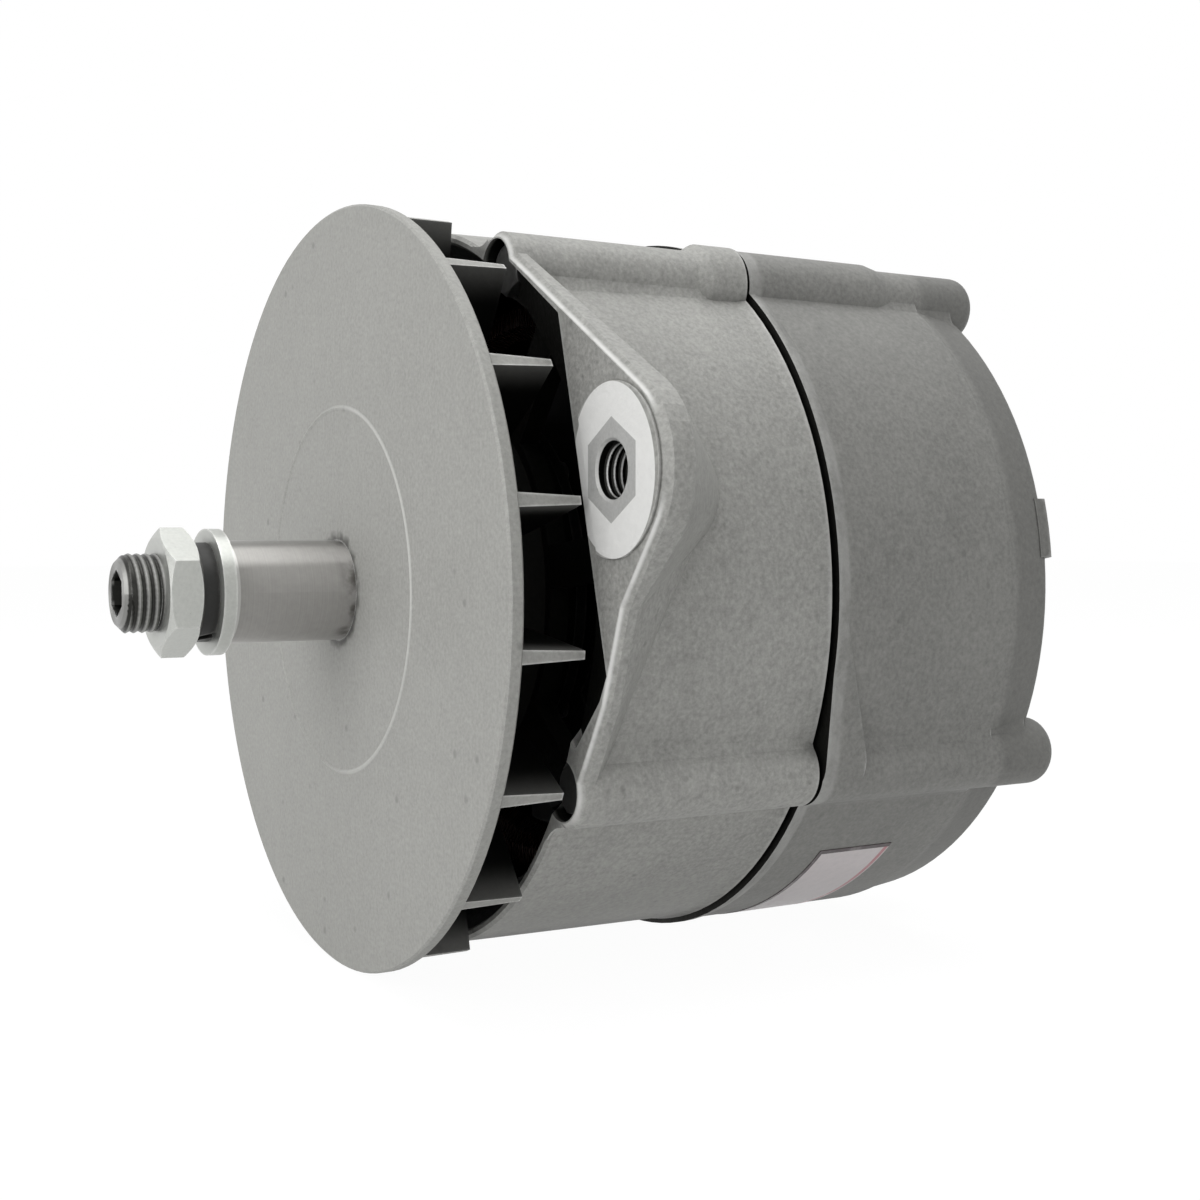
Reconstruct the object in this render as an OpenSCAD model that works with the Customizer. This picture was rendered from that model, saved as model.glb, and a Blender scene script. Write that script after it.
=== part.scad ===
// Heavy-duty alternator with an external fan, seen as an assembly of separate pieces.
// The shaft runs along Y, the pulley end points to -Y and +Z is up.
// The origin is on the shaft axis, in the front face of the fan, where a pulley seats.
// Angles are measured round the shaft from +X towards +Z.

/* [Pulley end] */
// Diameter of the plain shaft seat that carries the pulley
seat_d = 25; // [22:0.5:27]
// Length of the pulley seat ahead of the fan
seat_len = 30.6; // [22:0.2:42]
// Thread diameter of the shaft nose
thread_d = 18; // [16:0.5:20]
// Length of the threaded nose ahead of the seat
thread_len = 24.4; // [22:0.2:32]
// Hexagon socket in the nose, across flats
socket_af = 10; // [8:0.5:11]
// Depth of the hexagon socket
socket_depth = 12; // [8:0.5:16]
// Shaft nut, across flats
nut_af = 27; // [26:0.5:30]
// Shaft nut thickness
nut_t = 8; // [6:0.5:10]
// Plain washer diameter
plain_washer_d = 30.6; // [28:0.2:36]
// Plain washer thickness
plain_washer_t = 3.2; // [2:0.2:4]
// Spring lock washer diameter
lock_washer_d = 24; // [22:0.2:30]
// Spring lock washer thickness
lock_washer_t = 4.1; // [3:0.1:5]

/* [Fan] */
// Diameter of the fan disc
fan_d = 190; // [180:1:200]
// Thickness of the fan disc
disc_t = 3.35; // [2.5:0.05:5]
// Diameter of the raised line on the face of the disc
disc_line_d = 91.4; // [70:0.2:110]
// Number of blades
blade_count = 18; // [12:1:20]
// Angle of the first blade
blade_phase = 12.9; // [0:0.1:20]
// Depth of a blade at its outer end
blade_depth = 15.4; // [12:0.1:20]
// Extra depth of a blade further in
blade_rise = 0.9; // [0.2:0.1:2]
// Thickness of a blade at the disc
blade_root_t = 3.2; // [2.5:0.1:4]
// Thickness of a blade at its rear edge
blade_tip_t = 1.8; // [1.2:0.1:2.4]
// Distance from the disc edge to the end of a blade
blade_inset = 1.7; // [0.5:0.1:5]
// Radius where the blades start
blade_inner_r = 50; // [48:0.5:58]
// Running gap between the blades and the front shell
fan_gap = 1.15; // [1:0.05:3]
// Diameter of the fan hub behind the disc
fan_hub_d = 48; // [44:1:54]
// Depth of the fan hub behind the disc
fan_hub_len = 9; // [6:0.5:11]

/* [Front shell] */
// How far the front rim lies inside the outside radius of the rear shell
front_step = 2; // [1.6:0.1:3]
// Radial growth of the front shell from its rim to the seam
front_taper = 0.7; // [0.2:0.1:1]
// Length of the front shell
front_len = 64.1; // [63:0.1:74]
// Thickness of the front rim at its edge
rim_t = 1.8; // [1.4:0.1:2.4]
// Depth of the recess behind the fan
recess_depth = 13; // [11:0.5:15]
// Thickness of the front web
web_t = 5; // [4:0.5:7]
// Number of windows in the front web
window_count = 8; // [6:1:10]
// Width of the arms between the windows
arm_w = 10; // [8:0.5:14]
// Thickness of the bearing hub round the front bearing
front_hub_wall = 10; // [9.5:0.5:11]

/* [Rear shell] */
// Outside diameter of the rear shell
rear_d = 184.4; // [182:0.2:186]
// Length of the rear shell
rear_len = 69.3; // [68:0.1:84]
// Dark gap between the two shells
seam_gap = 1; // [0.6:0.1:1.4]
// Distance from the rear face to the start of the sloped edge
shoulder_len = 15; // [8:0.5:20]
// Radial fall of the sloped edge
shoulder_drop = 1.9; // [1.2:0.1:3]
// Small step where the sloped edge starts
shoulder_step = 0.5; // [0.2:0.1:0.8]
// Thickness of the rear shell round the stator core
stator_wall = 8.15; // [8:0.05:9]
// Thickness of the rear end wall
end_wall_t = 6; // [5:0.5:8]
// Radius of the rounded rear edge
rear_edge_r = 2.6; // [1.5:0.1:4]
// Width of an air inlet in the end wall
vent_w = 6.4; // [4:0.2:7]
// Angle from one air inlet to the next
vent_step = 12; // [12:1:20]
// Thickness of the bearing hub round the rear bearing
rear_hub_wall = 7; // [5:0.5:9]

/* [Through bolts] */
// Distance of the through bolts inside the outside radius of the rear shell
bolt_inset = 3.2; // [2.6:0.1:3.6]
// Diameter of a through bolt
bolt_d = 7; // [6:0.5:7]
// Across flats of a through bolt head
bolt_head_af = 11; // [10:0.5:11.5]
// Thickness of a through bolt head
bolt_head_t = 5; // [4:0.5:6]
// Half of the angle between the two bolts beside the lug
bolt_spread = 43; // [40:0.5:47]
// Radius of the bolt bosses along the shells
boss_r = 8.6; // [8.4:0.1:10]
// Radius of the hollow between a boss and the shell
web_r = 9; // [6:0.5:12]
// How far the bosses stand past the rear face
boss_overhang = 6.8; // [4:0.2:9]
// Depth of the pocket for a bolt head
pocket_depth = 9.2; // [8.6:0.1:10.5]

/* [Tensioner lug] */
// Direction of the lug from the shaft axis
lug_angle = 14.9; // [8:0.1:20]
// Distance of the lug hole outside the outside radius of the rear shell
lug_out = 12.1; // [11:0.1:13.5]
// Diameter of the machined pad
pad_d = 36.5; // [34:0.5:37]
// Height of the machined pad above the front face
pad_proud = 0.6; // [0.2:0.1:0.8]
// Thread diameter of the lug insert
lug_thread_d = 12; // [10:1:14]
// Across flats of the lug insert
insert_af = 19; // [18:0.5:21]
// Length of the lug insert
insert_len = 14; // [10:0.5:15]
// Distance from the lug's front face to its rear end
lug_depth = 36.5; // [34:0.5:42]

/* [Pivot] */
// Distance of the pivot bolt outside the outside radius of the rear shell
pivot_out = 18.8; // [18:0.1:23]
// Bore of the pivot bushes
pivot_bore_d = 12.5; // [10.5:0.5:14]
// Wall of the pivot bushes
bush_wall = 2.5; // [2:0.5:3]
// Radius of the pivot eyes
eye_r = 15; // [14:0.5:16]
// Length of the front pivot eye
front_eye_len = 26; // [20:1:30]
// Length of the rear pivot eye
rear_eye_len = 22; // [16:1:26]
// Distance from the rear pivot eye to the rear face
rear_eye_setback = 8; // [4:1:12]

/* [Bearings] */
// Bore of the front bearing
front_bearing_bore = 30; // [28:0.5:31]
// Outside diameter of the front bearing
front_bearing_d = 72; // [69:0.5:72]
// Width of the front bearing
front_bearing_w = 19; // [17:0.5:19]
// Bore of the rear bearing
rear_bearing_bore = 20; // [18:0.5:21]
// Outside diameter of the rear bearing
rear_bearing_d = 47; // [45:0.5:50]
// Width of the rear bearing
rear_bearing_w = 14; // [12:0.5:15]
// Number of balls in each bearing
ball_count = 8; // [6:1:8]

/* [Stator and rotor] */
// Radial depth of the stator core
stator_depth = 19.9; // [19:0.1:21]
// Length of the stator core
stator_len = 40; // [36:1:42]
// Number of stator slots
slot_count = 36; // [24:6:36]
// Width of a stator slot
slot_w = 5.6; // [4.5:0.1:6]
// Reach of the winding past each end of the stator core
winding_reach = 14; // [11:0.5:15]
// Air gap between the claw poles and the stator
air_gap = 0.6; // [0.4:0.1:1]
// Number of claws on each pole
claw_count = 6; // [5:1:7]
// Length of the pole core
core_len = 38; // [34:1:40]
// Thickness of each pole flange
flange_t = 14; // [11:0.5:14]
// Diameter of the pole core
core_d = 52; // [46:1:56]
// Thickness of a claw
claw_t = 10; // [9:0.5:12]
// Gap between the field coil and the claws
coil_gap = 4.5; // [3:0.1:6]

/* [Rear end] */
// Direction of the regulator and brushes from the shaft axis
brush_angle = 285; // [270:1:300]
// Diameter of the slip rings
slip_ring_d = 28; // [26:0.5:30]
// Width of a slip ring
slip_ring_w = 5.5; // [5:0.1:6]
// Width of a brush along the shaft
brush_w = 4.6; // [4:0.1:4.8]
// Thickness of a brush across the shaft
brush_t = 9; // [7:0.5:10]
// Length of a brush
brush_len = 16; // [13:0.5:18]
// Thread diameter of the positive stud
stud_d = 8; // [6:1:8]
// Reach of the positive stud past the rear face
stud_reach = 20; // [18:0.5:24]
// Direction of the positive stud from the shaft axis
stud_angle = 148; // [146:1:150]
// Diameter of the suppression capacitor
capacitor_d = 18; // [16:1:20]
// Length of the suppression capacitor
capacitor_len = 34; // [28:1:38]
// Diameter of a signal terminal
terminal_d = 5; // [4:0.5:6]
// Reach of a signal terminal past the rear face
terminal_reach = 14; // [11:0.5:16]

/* [Small screws] */
// Diameter of the small screws
screw_d = 4.2; // [3:0.1:5]
// Diameter of a small screw head
screw_head_d = 7.8; // [6:0.1:8.4]
// Height of a small screw head
screw_head_t = 2.8; // [2:0.1:3.2]

/* [Hidden] */
$fn = 96;

// Clearances and small allowances
fit_gap = 0.05;
run_gap = 0.3;
slide_gap = 0.1;
bolt_gap = 0.2;
over = 1;
hull_sides = 32;
seam_lip = 0.6;
web_sunk = 0.4;
thread_bite = 0.3;
thread_clear = 0.6;

// Places along the shaft
nose_y = -seat_len - thread_len;
nut_y = -seat_len - plain_washer_t - lock_washer_t - nut_t;
front_y = disc_t + blade_depth + blade_rise + fan_gap;
recess_y = front_y + recess_depth;
web_y = recess_y + web_t;
front_bearing_y = front_y + 3.2;
front_bearing_end = front_bearing_y + front_bearing_w;
seam_front_y = front_y + front_len;
seam_y = seam_front_y + seam_gap / 2;
seam_rear_y = seam_front_y + seam_gap;
rear_y = seam_rear_y + rear_len;
end_wall_y = rear_y - end_wall_t;
rear_bearing_end = rear_y - 8;
rear_bearing_y = rear_bearing_end - rear_bearing_w;
rear_eye_y = rear_y - rear_eye_setback;
stator_y0 = seam_y - stator_len / 2;
stator_y1 = seam_y + stator_len / 2;
winding_y0 = stator_y0 - winding_reach;
winding_y1 = stator_y1 + winding_reach;
core_y0 = seam_y - core_len / 2;
core_y1 = seam_y + core_len / 2;
pole_y0 = core_y0 - flange_t;
pole_y1 = core_y1 + flange_t;
pivot_angle = lug_angle + 180;

// Radii
fan_r = fan_d / 2;
blade_outer_r = fan_r - blade_inset;
blade_knee_r = blade_outer_r - 13.3;
rear_r = rear_d / 2;
trim_r = rear_d;
front_r = rear_r - front_step;
front_seam_r = front_r + front_taper;
bolt_r = rear_r - bolt_inset;
lug_r = rear_r + lug_out;
pivot_r = rear_r + pivot_out;
seat_r = rear_r - stator_wall;
stator_r = seat_r - fit_gap;
cavity_r = stator_r - 3;
recess_r = stator_r;
front_hub_r = front_bearing_d / 2 + front_hub_wall;
rear_hub_r = rear_bearing_d / 2 + rear_hub_wall;
window_r0 = front_hub_r + 4;
window_r1 = cavity_r - 3;
shoulder_r = 19;
pole_shaft_r = 17;
thread_root_r = thread_d / 2 - thread_bite;
retainer_angles = [45, 135, 225, 315];
spacer_r = 20;
stator_bore_r = stator_r - stator_depth;
rotor_r = stator_bore_r - air_gap;
coil_r = rotor_r - claw_t - coil_gap;
claw_root_w = 0.88 * PI * rotor_r / claw_count;
slot_end_r = stator_r - 8.5;
bolt_angles = [
    lug_angle + bolt_spread, lug_angle - bolt_spread,
    pivot_angle + bolt_spread, pivot_angle - bolt_spread
];
bolt_hole_r = bolt_d / 2 + bolt_gap;
pocket_r = bolt_head_af / 2 / cos(30) + 0.6;
bolt_seat_y = front_y + pocket_depth;
bolt_washer_t = 1.6;
bolt_end_y = rear_y - 4;
retainer_t = 3;
retainer_screw_r = front_bearing_d / 2 + 5;
screw_r = screw_d / 2;
screw_head_r = screw_head_d / 2;

// Rear end
slip_ring_r = slip_ring_d / 2;
carrier_r = slip_ring_r - 2.5;
slip_gap = 2;
slip_y = [rear_y + 2, rear_y + 2 + slip_ring_w + slip_gap];
shaft_end_y = slip_y[1] + slip_ring_w + 1;
brush_r = slip_ring_r + run_gap;
brush_back_r = brush_r + brush_len;
spring_room = 8;
holder_r0 = slip_ring_r + 1.4;
holder_r1 = brush_back_r + spring_room + 2;
holder_cap_y = shaft_end_y + 1.5;
holder_end_y = holder_cap_y + 2;
holder_half_w = brush_t / 2 + 3.5;
shroud_r = slip_ring_r + 2.5;
shroud_wall = 2.5;
hub_lip = 1;
hub_mouth = 2;
plate_t = 4;
negative_y = end_wall_y - 4.5 - plate_t;
positive_y = negative_y - 6.5 - plate_t;
plate_r0 = 37;
plate_r1 = cavity_r - 4;
plate_a0 = -40;
plate_a1 = 250;
diode_r = 6.4;
diode_angles = [for (k = [0 : 5]) -20 + 48 * k];
positive_diode_r = plate_r0 + 11;
negative_diode_r = plate_r1 - 10;
rectifier_screw_r = (plate_r0 + plate_r1) / 2 + 1;
rectifier_angles = [4, 100, 196];
stud_place_r = plate_r1 - 11;
stud_root_r = stud_d / 2 - thread_bite;
stud_collar_r = stud_d / 2 + 4;
stud_flange_t = 3;
stud_washer_t = 1.6;
stud_nut_t = 5;
stud_nut_end_y = rear_y + stud_flange_t + stud_washer_t + stud_nut_t;
terminal_r = terminal_d / 2;
terminal_collar_r = 2 * terminal_r;
terminal_flange_r = 2.8 * terminal_r;
terminal_flange_t = 3;
terminal_nut_af = 1.6 * terminal_d;
terminal_nut_t = 3.5;
diode_lead_r = 1;
lead_hole_r = 3;
insulator_r = screw_r + 3.4;
screw_body_r = screw_r + 0.4;
signal_angles = [66, 84];
signal_r = plate_r1 - 7;
capacitor_angle = 226;
capacitor_place_r = plate_r1 - 16;
capacitor_lift = 2;
clip_screw_r = screw_r - 0.2;
capacitor_y = rear_y + capacitor_lift + capacitor_d / 2;
capacitor_screw_r = capacitor_place_r - capacitor_d / 2 - 7;
regulator_r0 = holder_r1;
regulator_end_r = rear_r - 15.4;
regulator_half_w = 26;
regulator_screw_side = 19;
ear_r = 8;
ear_t = 6;
regulator_screw_r = regulator_r0 + ear_r;
// Each pad of solid end wall: its direction and half of its width in degrees
wall_pads = [
    [brush_angle, 34], [stud_angle, 14], [rectifier_angles[0], 9], [rectifier_angles[1], 9],
    [rectifier_angles[2], 9], [signal_angles[0], 9], [signal_angles[1], 9], [capacitor_angle, 10]
];

function turn_between(a, b) = abs(((a - b + 540) % 360 + 360) % 360 - 180);
function on_wall_pad(a) = max([for (p = wall_pads) p[1] - turn_between(a, p[0])]) > 0;
function ball_r(bore, d) = 0.15 * (d - bore);
function pitch_r(bore, d) = (bore + d) / 4;
function hex_r(across_flats) = across_flats / 2 / cos(30);

// Turns children about the shaft, so that their +X points at angle a
module at_angle(a) {
    rotate([0, -a, 0])
        children();
}

// Puts children at a distance from the shaft and a place along it
module at_place(a, r, y) {
    at_angle(a)
        translate([r, y, 0])
            children();
}

// A cylinder along the shaft direction from y0 to y1
module rod(r, y0, y1, r_end = -1) {
    translate([0, y0, 0])
        rotate([-90, 0, 0])
            cylinder(h = y1 - y0, r1 = r, r2 = r_end < 0 ? r : r_end);
}

// A hexagonal bar along the shaft direction, with a vertex along +Z
module hex_rod(across_flats, y0, y1) {
    translate([0, y0, 0])
        rotate([-90, 0, 0])
            rotate(90)
                cylinder(h = y1 - y0, r = hex_r(across_flats), $fn = 6);
}

module tube(r_out, r_in, y0, y1) {
    difference() {
        rod(r_out, y0, y1);
        rod(r_in, y0 - over, y1 + over);
    }
}

// Revolves a profile whose x is the radius and whose y is the place along the shaft
module revolve() {
    rotate([-90, 0, 0])
        rotate_extrude()
            children();
}

// Extrudes a profile drawn in X and Z from y0 to y1
module slab(y0, y1) {
    translate([0, y1, 0])
        rotate([90, 0, 0])
            linear_extrude(y1 - y0)
                children();
}

// A hexagon nut or bolt head with a chamfer on one or both faces
module hex_head(across_flats, y0, y1, chamfer_front = true, chamfer_rear = true) {
    flat_r = across_flats / 2;
    slope = (hex_r(across_flats) - flat_r) * 0.6;
    rim = hex_r(across_flats);
    intersection() {
        hex_rod(across_flats, y0, y1);
        revolve()
            polygon([
                [0, y0],
                [chamfer_front ? flat_r * 0.97 : rim, y0],
                [rim, y0 + (chamfer_front ? slope : 0)],
                [rim, y1 - (chamfer_rear ? slope : 0)],
                [chamfer_rear ? flat_r * 0.97 : rim, y1],
                [0, y1]
            ]);
    }
}

// Pulley end and shaft

module rotor_shaft() {
    chamfer = 1.4;
    slip_r = carrier_r - 3.5;
    step_y = front_bearing_y + 1;
    color("silver")
        difference() {
            revolve()
                polygon([
                    [0, nose_y],
                    [thread_d / 2 - chamfer, nose_y],
                    [thread_d / 2, nose_y + chamfer],
                    [thread_d / 2, nut_y - thread_clear],
                    [thread_root_r, nut_y - thread_clear],
                    [thread_root_r, -seat_len],
                    [seat_d / 2 - 0.5, -seat_len],
                    [seat_d / 2, -seat_len + 0.5],
                    [seat_d / 2, step_y],
                    [front_bearing_bore / 2, step_y],
                    [front_bearing_bore / 2, front_bearing_end],
                    [shoulder_r, front_bearing_end],
                    [shoulder_r, pole_y0],
                    [pole_shaft_r, pole_y0],
                    [pole_shaft_r, pole_y1],
                    [rear_bearing_bore / 2 + 3, pole_y1],
                    [rear_bearing_bore / 2 + 3, rear_bearing_y],
                    [rear_bearing_bore / 2, rear_bearing_y],
                    [rear_bearing_bore / 2, rear_bearing_end],
                    [slip_r, rear_bearing_end],
                    [slip_r, shaft_end_y],
                    [0, shaft_end_y]
                ]);
            hex_rod(socket_af, nose_y - over, nose_y + socket_depth);
            rod(hex_r(socket_af) + 0.6, nose_y - over, nose_y + 0.01);
        }
}

module shaft_nut() {
    color("gainsboro")
        difference() {
            hex_head(nut_af, nut_y, nut_y + nut_t);
            rod(thread_root_r, nut_y - over, nut_y + nut_t + over);
        }
}

module lock_washer() {
    y0 = nut_y + nut_t;
    y1 = y0 + lock_washer_t;
    split = 2.2;
    color("darkgray")
        difference() {
            tube(lock_washer_d / 2, thread_d / 2 + bolt_gap, y0, y1);
            at_angle(-62)
                translate([lock_washer_d / 2, (y0 + y1) / 2, 0])
                    rotate([25, 0, 0])
                        cube([lock_washer_d, 2 * lock_washer_t + 4, split], center = true);
        }
}

module plain_washer() {
    color("lightgray")
        tube(plain_washer_d / 2, thread_d / 2 + bolt_gap, -seat_len - plain_washer_t, -seat_len);
}

// Fan

module fan_disc() {
    edge = 0.5;
    line_r = disc_line_d / 2;
    line_h = 0.3;
    line_w = 0.7;
    hub_r = fan_hub_d / 2;
    color("silver")
        revolve()
            polygon([
                [seat_d / 2, 0],
                [line_r - line_w, 0],
                [line_r, -line_h],
                [line_r + line_w, 0],
                [fan_r - edge, 0],
                [fan_r, edge],
                [fan_r, disc_t - edge],
                [fan_r - edge, disc_t],
                [hub_r + 3, disc_t],
                [hub_r, disc_t + 3],
                [hub_r, disc_t + fan_hub_len],
                [seat_d / 2, disc_t + fan_hub_len]
            ]);
}

// One radial blade: its side view cut out of a bar that thins towards the rear
module blade() {
    knee_y = disc_t + blade_depth + blade_rise;
    intersection() {
        translate([0, 0, -blade_root_t])
            linear_extrude(2 * blade_root_t)
                polygon([
                    [blade_inner_r, disc_t],
                    [blade_outer_r, disc_t],
                    [blade_outer_r, disc_t + blade_depth],
                    [blade_knee_r, knee_y],
                    [blade_inner_r + 12, knee_y],
                    [blade_inner_r, disc_t + 8]
                ]);
        rotate([90, 0, 90])
            linear_extrude(fan_r)
                polygon([
                    [disc_t, -blade_root_t / 2],
                    [knee_y, -blade_tip_t / 2],
                    [knee_y, blade_tip_t / 2],
                    [disc_t, blade_root_t / 2]
                ]);
    }
}

module fan_blades() {
    color("silver")
        for (k = [0 : blade_count - 1])
            at_angle(blade_phase + k * 360 / blade_count)
                blade();
}

module fan_spacer() {
    color("gray")
        tube(spacer_r, seat_d / 2, disc_t + fan_hub_len, front_bearing_y);
}

// Bearings

// One race: a ring with a round groove for the balls
module race(r_in, r_out, bore, d, y0, y1) {
    groove_r = ball_r(bore, d) + fit_gap;
    difference() {
        tube(r_out, r_in, y0, y1);
        revolve()
            translate([pitch_r(bore, d), (y0 + y1) / 2])
                circle(groove_r);
    }
}

module inner_race(bore, d, y0, y1) {
    land_r = pitch_r(bore, d) - 0.68 * ball_r(bore, d);
    race(bore / 2, land_r, bore, d, y0, y1);
}

module outer_race(bore, d, y0, y1) {
    land_r = pitch_r(bore, d) + 0.68 * ball_r(bore, d);
    race(land_r, d / 2, bore, d, y0, y1);
}

module ball_ring(bore, d, y_mid) {
    for (k = [0 : ball_count - 1])
        at_place(k * 360 / ball_count, pitch_r(bore, d), y_mid)
            sphere(ball_r(bore, d));
}

module ball_cage(bore, d, y_mid) {
    half_t = 0.24 * ball_r(bore, d);
    half_w = ball_r(bore, d) + 0.8;
    difference() {
        tube(pitch_r(bore, d) + half_t, pitch_r(bore, d) - half_t, y_mid - half_w, y_mid + half_w);
        for (k = [0 : ball_count - 1])
            at_place(k * 360 / ball_count, pitch_r(bore, d) - 2 * half_t, y_mid)
                rotate([0, 90, 0])
                    cylinder(h = 4 * half_t, r = ball_r(bore, d) + slide_gap);
    }
}

module front_bearing_inner() {
    color("silver")
        inner_race(front_bearing_bore, front_bearing_d, front_bearing_y, front_bearing_end);
}

module front_bearing_outer() {
    color("silver")
        outer_race(front_bearing_bore, front_bearing_d, front_bearing_y, front_bearing_end);
}

module front_balls() {
    color("white")
        ball_ring(front_bearing_bore, front_bearing_d, (front_bearing_y + front_bearing_end) / 2);
}

module front_cage() {
    color("goldenrod")
        ball_cage(front_bearing_bore, front_bearing_d, (front_bearing_y + front_bearing_end) / 2);
}

module front_seal() {
    color("dimgray")
        tube(front_bearing_d / 2 - 5, spacer_r + run_gap, front_y, front_bearing_y - 1);
}

module rear_bearing_inner() {
    color("silver")
        inner_race(rear_bearing_bore, rear_bearing_d, rear_bearing_y, rear_bearing_end);
}

module rear_bearing_outer() {
    color("silver")
        outer_race(rear_bearing_bore, rear_bearing_d, rear_bearing_y, rear_bearing_end);
}

module rear_balls() {
    color("white")
        ball_ring(rear_bearing_bore, rear_bearing_d, (rear_bearing_y + rear_bearing_end) / 2);
}

module rear_cage() {
    color("goldenrod")
        ball_cage(rear_bearing_bore, rear_bearing_d, (rear_bearing_y + rear_bearing_end) / 2);
}

module bearing_retainer() {
    color("gray")
        difference() {
            tube(front_hub_r, pitch_r(front_bearing_bore, front_bearing_d) + 0.5,
                front_bearing_end, front_bearing_end + retainer_t);
            retainer_holes(front_bearing_end - over, front_bearing_end + retainer_t + over);
        }
}

module retainer_holes(y0, y1) {
    for (a = retainer_angles)
        at_place(a, retainer_screw_r, 0)
            rod(screw_r, y0, y1);
}

module retainer_screws() {
    head_y = front_bearing_end + retainer_t;
    color("dimgray")
        for (a = retainer_angles)
            at_place(a, retainer_screw_r, 0)
                union() {
                    rod(screw_r, head_y - 12, head_y);
                    rod(screw_head_r, head_y, head_y + screw_head_t, 0.8 * screw_head_r);
                }
}

// Rotor

// One claw pole: a lobed flange that starts at y_flange, and claws that reach in direction way (1 or -1)
module claw_pole(y_flange, way, turn) {
    flange_y0 = way > 0 ? y_flange : y_flange - flange_t;
    root_y = y_flange + way * (flange_t - over);
    tip_y = y_flange + way * (core_len + 1.55 * flange_t);
    difference() {
        at_angle(turn)
            union() {
                slab(flange_y0, flange_y0 + flange_t)
                    claw_flange();
                for (k = [0 : claw_count - 1])
                    at_angle(k * 360 / claw_count)
                        claw(root_y, tip_y);
            }
        rod(pole_shaft_r, flange_y0 - over, flange_y0 + flange_t + over);
        // Chamfer on the outer corner of the flange
        revolve()
            polygon([
                [rotor_r - 5, y_flange - way * over],
                [rotor_r + over, y_flange - way * over],
                [rotor_r + over, y_flange + way * 6],
            ]);
    }
}

// The flange in the front plane: a round hub with a lobe at the root of each claw
module claw_flange() {
    intersection() {
        circle(rotor_r - 0.6);
        union() {
            circle(coil_r - 8);
            for (k = [0 : claw_count - 1])
                rotate(k * 360 / claw_count)
                    translate([0, -claw_root_w / 2])
                        square([2 * rotor_r, claw_root_w]);
        }
    }
}

// One claw, which tapers from its root to its tip round the outside of the coil
module claw(root_y, tip_y) {
    root_half_w = claw_root_w / 2 - 0.4;
    tip_half_w = 0.21 * claw_root_w;
    intersection() {
        tube(rotor_r, rotor_r - claw_t, min(root_y, tip_y) - over, max(root_y, tip_y) + over);
        rotate([90, 0, 90])
            linear_extrude(2 * rotor_r)
                polygon([
                    [root_y, -root_half_w],
                    [tip_y, -tip_half_w],
                    [tip_y, tip_half_w],
                    [root_y, root_half_w]
                ]);
    }
}

module claw_pole_front() {
    color("slategray")
        claw_pole(pole_y0, 1, 0);
}

module claw_pole_rear() {
    color("slategray")
        claw_pole(pole_y1, -1, 180 / claw_count);
}

module pole_core() {
    color("slategray")
        tube(core_d / 2, pole_shaft_r, core_y0, core_y1);
}

module field_bobbin() {
    wall = 1.4;
    tube_r = core_d / 2 + fit_gap + wall;
    color("beige")
        difference() {
            union() {
                rod(tube_r, core_y0, core_y1);
                rod(coil_r + 1, core_y0, core_y0 + wall);
                rod(coil_r + 1, core_y1 - wall, core_y1);
            }
            rod(core_d / 2 + fit_gap, core_y0 - over, core_y1 + over);
        }
}

module field_coil() {
    wall = 1.4;
    color("peru")
        tube(coil_r, core_d / 2 + fit_gap + wall, core_y0 + wall, core_y1 - wall);
}

module slip_ring_carrier() {
    color("sienna")
        tube(carrier_r, carrier_r - 3.5, rear_bearing_end, shaft_end_y);
}

module slip_rings() {
    color("orange")
        for (y = slip_y)
            tube(slip_ring_r, carrier_r, y, y + slip_ring_w);
}

// Shells

// A round peg with a chamfered front edge, one corner of the lug's outline
module lug_peg(x, z, r, depth) {
    edge = 1.6;
    translate([x, front_y, z])
        rotate([-90, 0, 0]) {
            translate([0, 0, -over])
                cylinder(h = edge + over, r1 = r - edge - over, r2 = r, $fn = hull_sides);
            translate([0, 0, edge])
                cylinder(h = depth, r = r, $fn = hull_sides);
        }
}

// Children drawn with +X along the lug direction
module lug_frame() {
    at_angle(lug_angle)
        children();
}

// Children on the axis of the lug's hole, still upright
module lug_place() {
    translate([lug_r * cos(lug_angle), 0, lug_r * sin(lug_angle)])
        children();
}

// The lug: an outline in the front plane that runs back into the side of the shell
module lug_body(shrink = 0) {
    pad_r = pad_d / 2 + 2.2 - shrink;
    corner = 3;
    root_r = 15;
    top_x = bolt_r * cos(bolt_spread);
    top_z = bolt_r * sin(bolt_spread);
    hull() {
        lug_peg(lug_r, 0, pad_r, 5);
        lug_peg(top_x, top_z, 6.4 - shrink, 2);
        lug_peg(lug_r - 6, -26.5, corner, 2);
        lug_peg(front_r - 12, 0, 10, lug_depth - 12);
        lug_root(root_r - shrink);
    }
    hull() {
        lug_peg(lug_r - 6, -26.5, corner, 2);
        lug_peg(top_x, -top_z, 6.4 - shrink, 2);
        lug_peg(lug_r - 18.6, -45, corner, 2);
        lug_root(root_r - 5 - shrink);
        lug_peg(front_r - 12, 0, 8, 8);
    }
}

// The rounded rear end of the lug, low on the shell
module lug_root(r) {
    translate([front_r - 6, front_y + lug_depth - r, 1])
        sphere(r, $fn = hull_sides);
}

// A plate outline that joins two circles by their outer tangents; the first circle is at the origin
module tapered_arm(r0, distance, r1) {
    lean = asin((r0 - r1) / distance);
    circle(r0);
    translate([distance, 0])
        circle(r1);
    polygon([
        [r0 * sin(lean), r0 * cos(lean)],
        [distance + r1 * sin(lean), r1 * cos(lean)],
        [distance + r1 * sin(lean), -r1 * cos(lean)],
        [r0 * sin(lean), -r0 * cos(lean)]
    ]);
}

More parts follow.
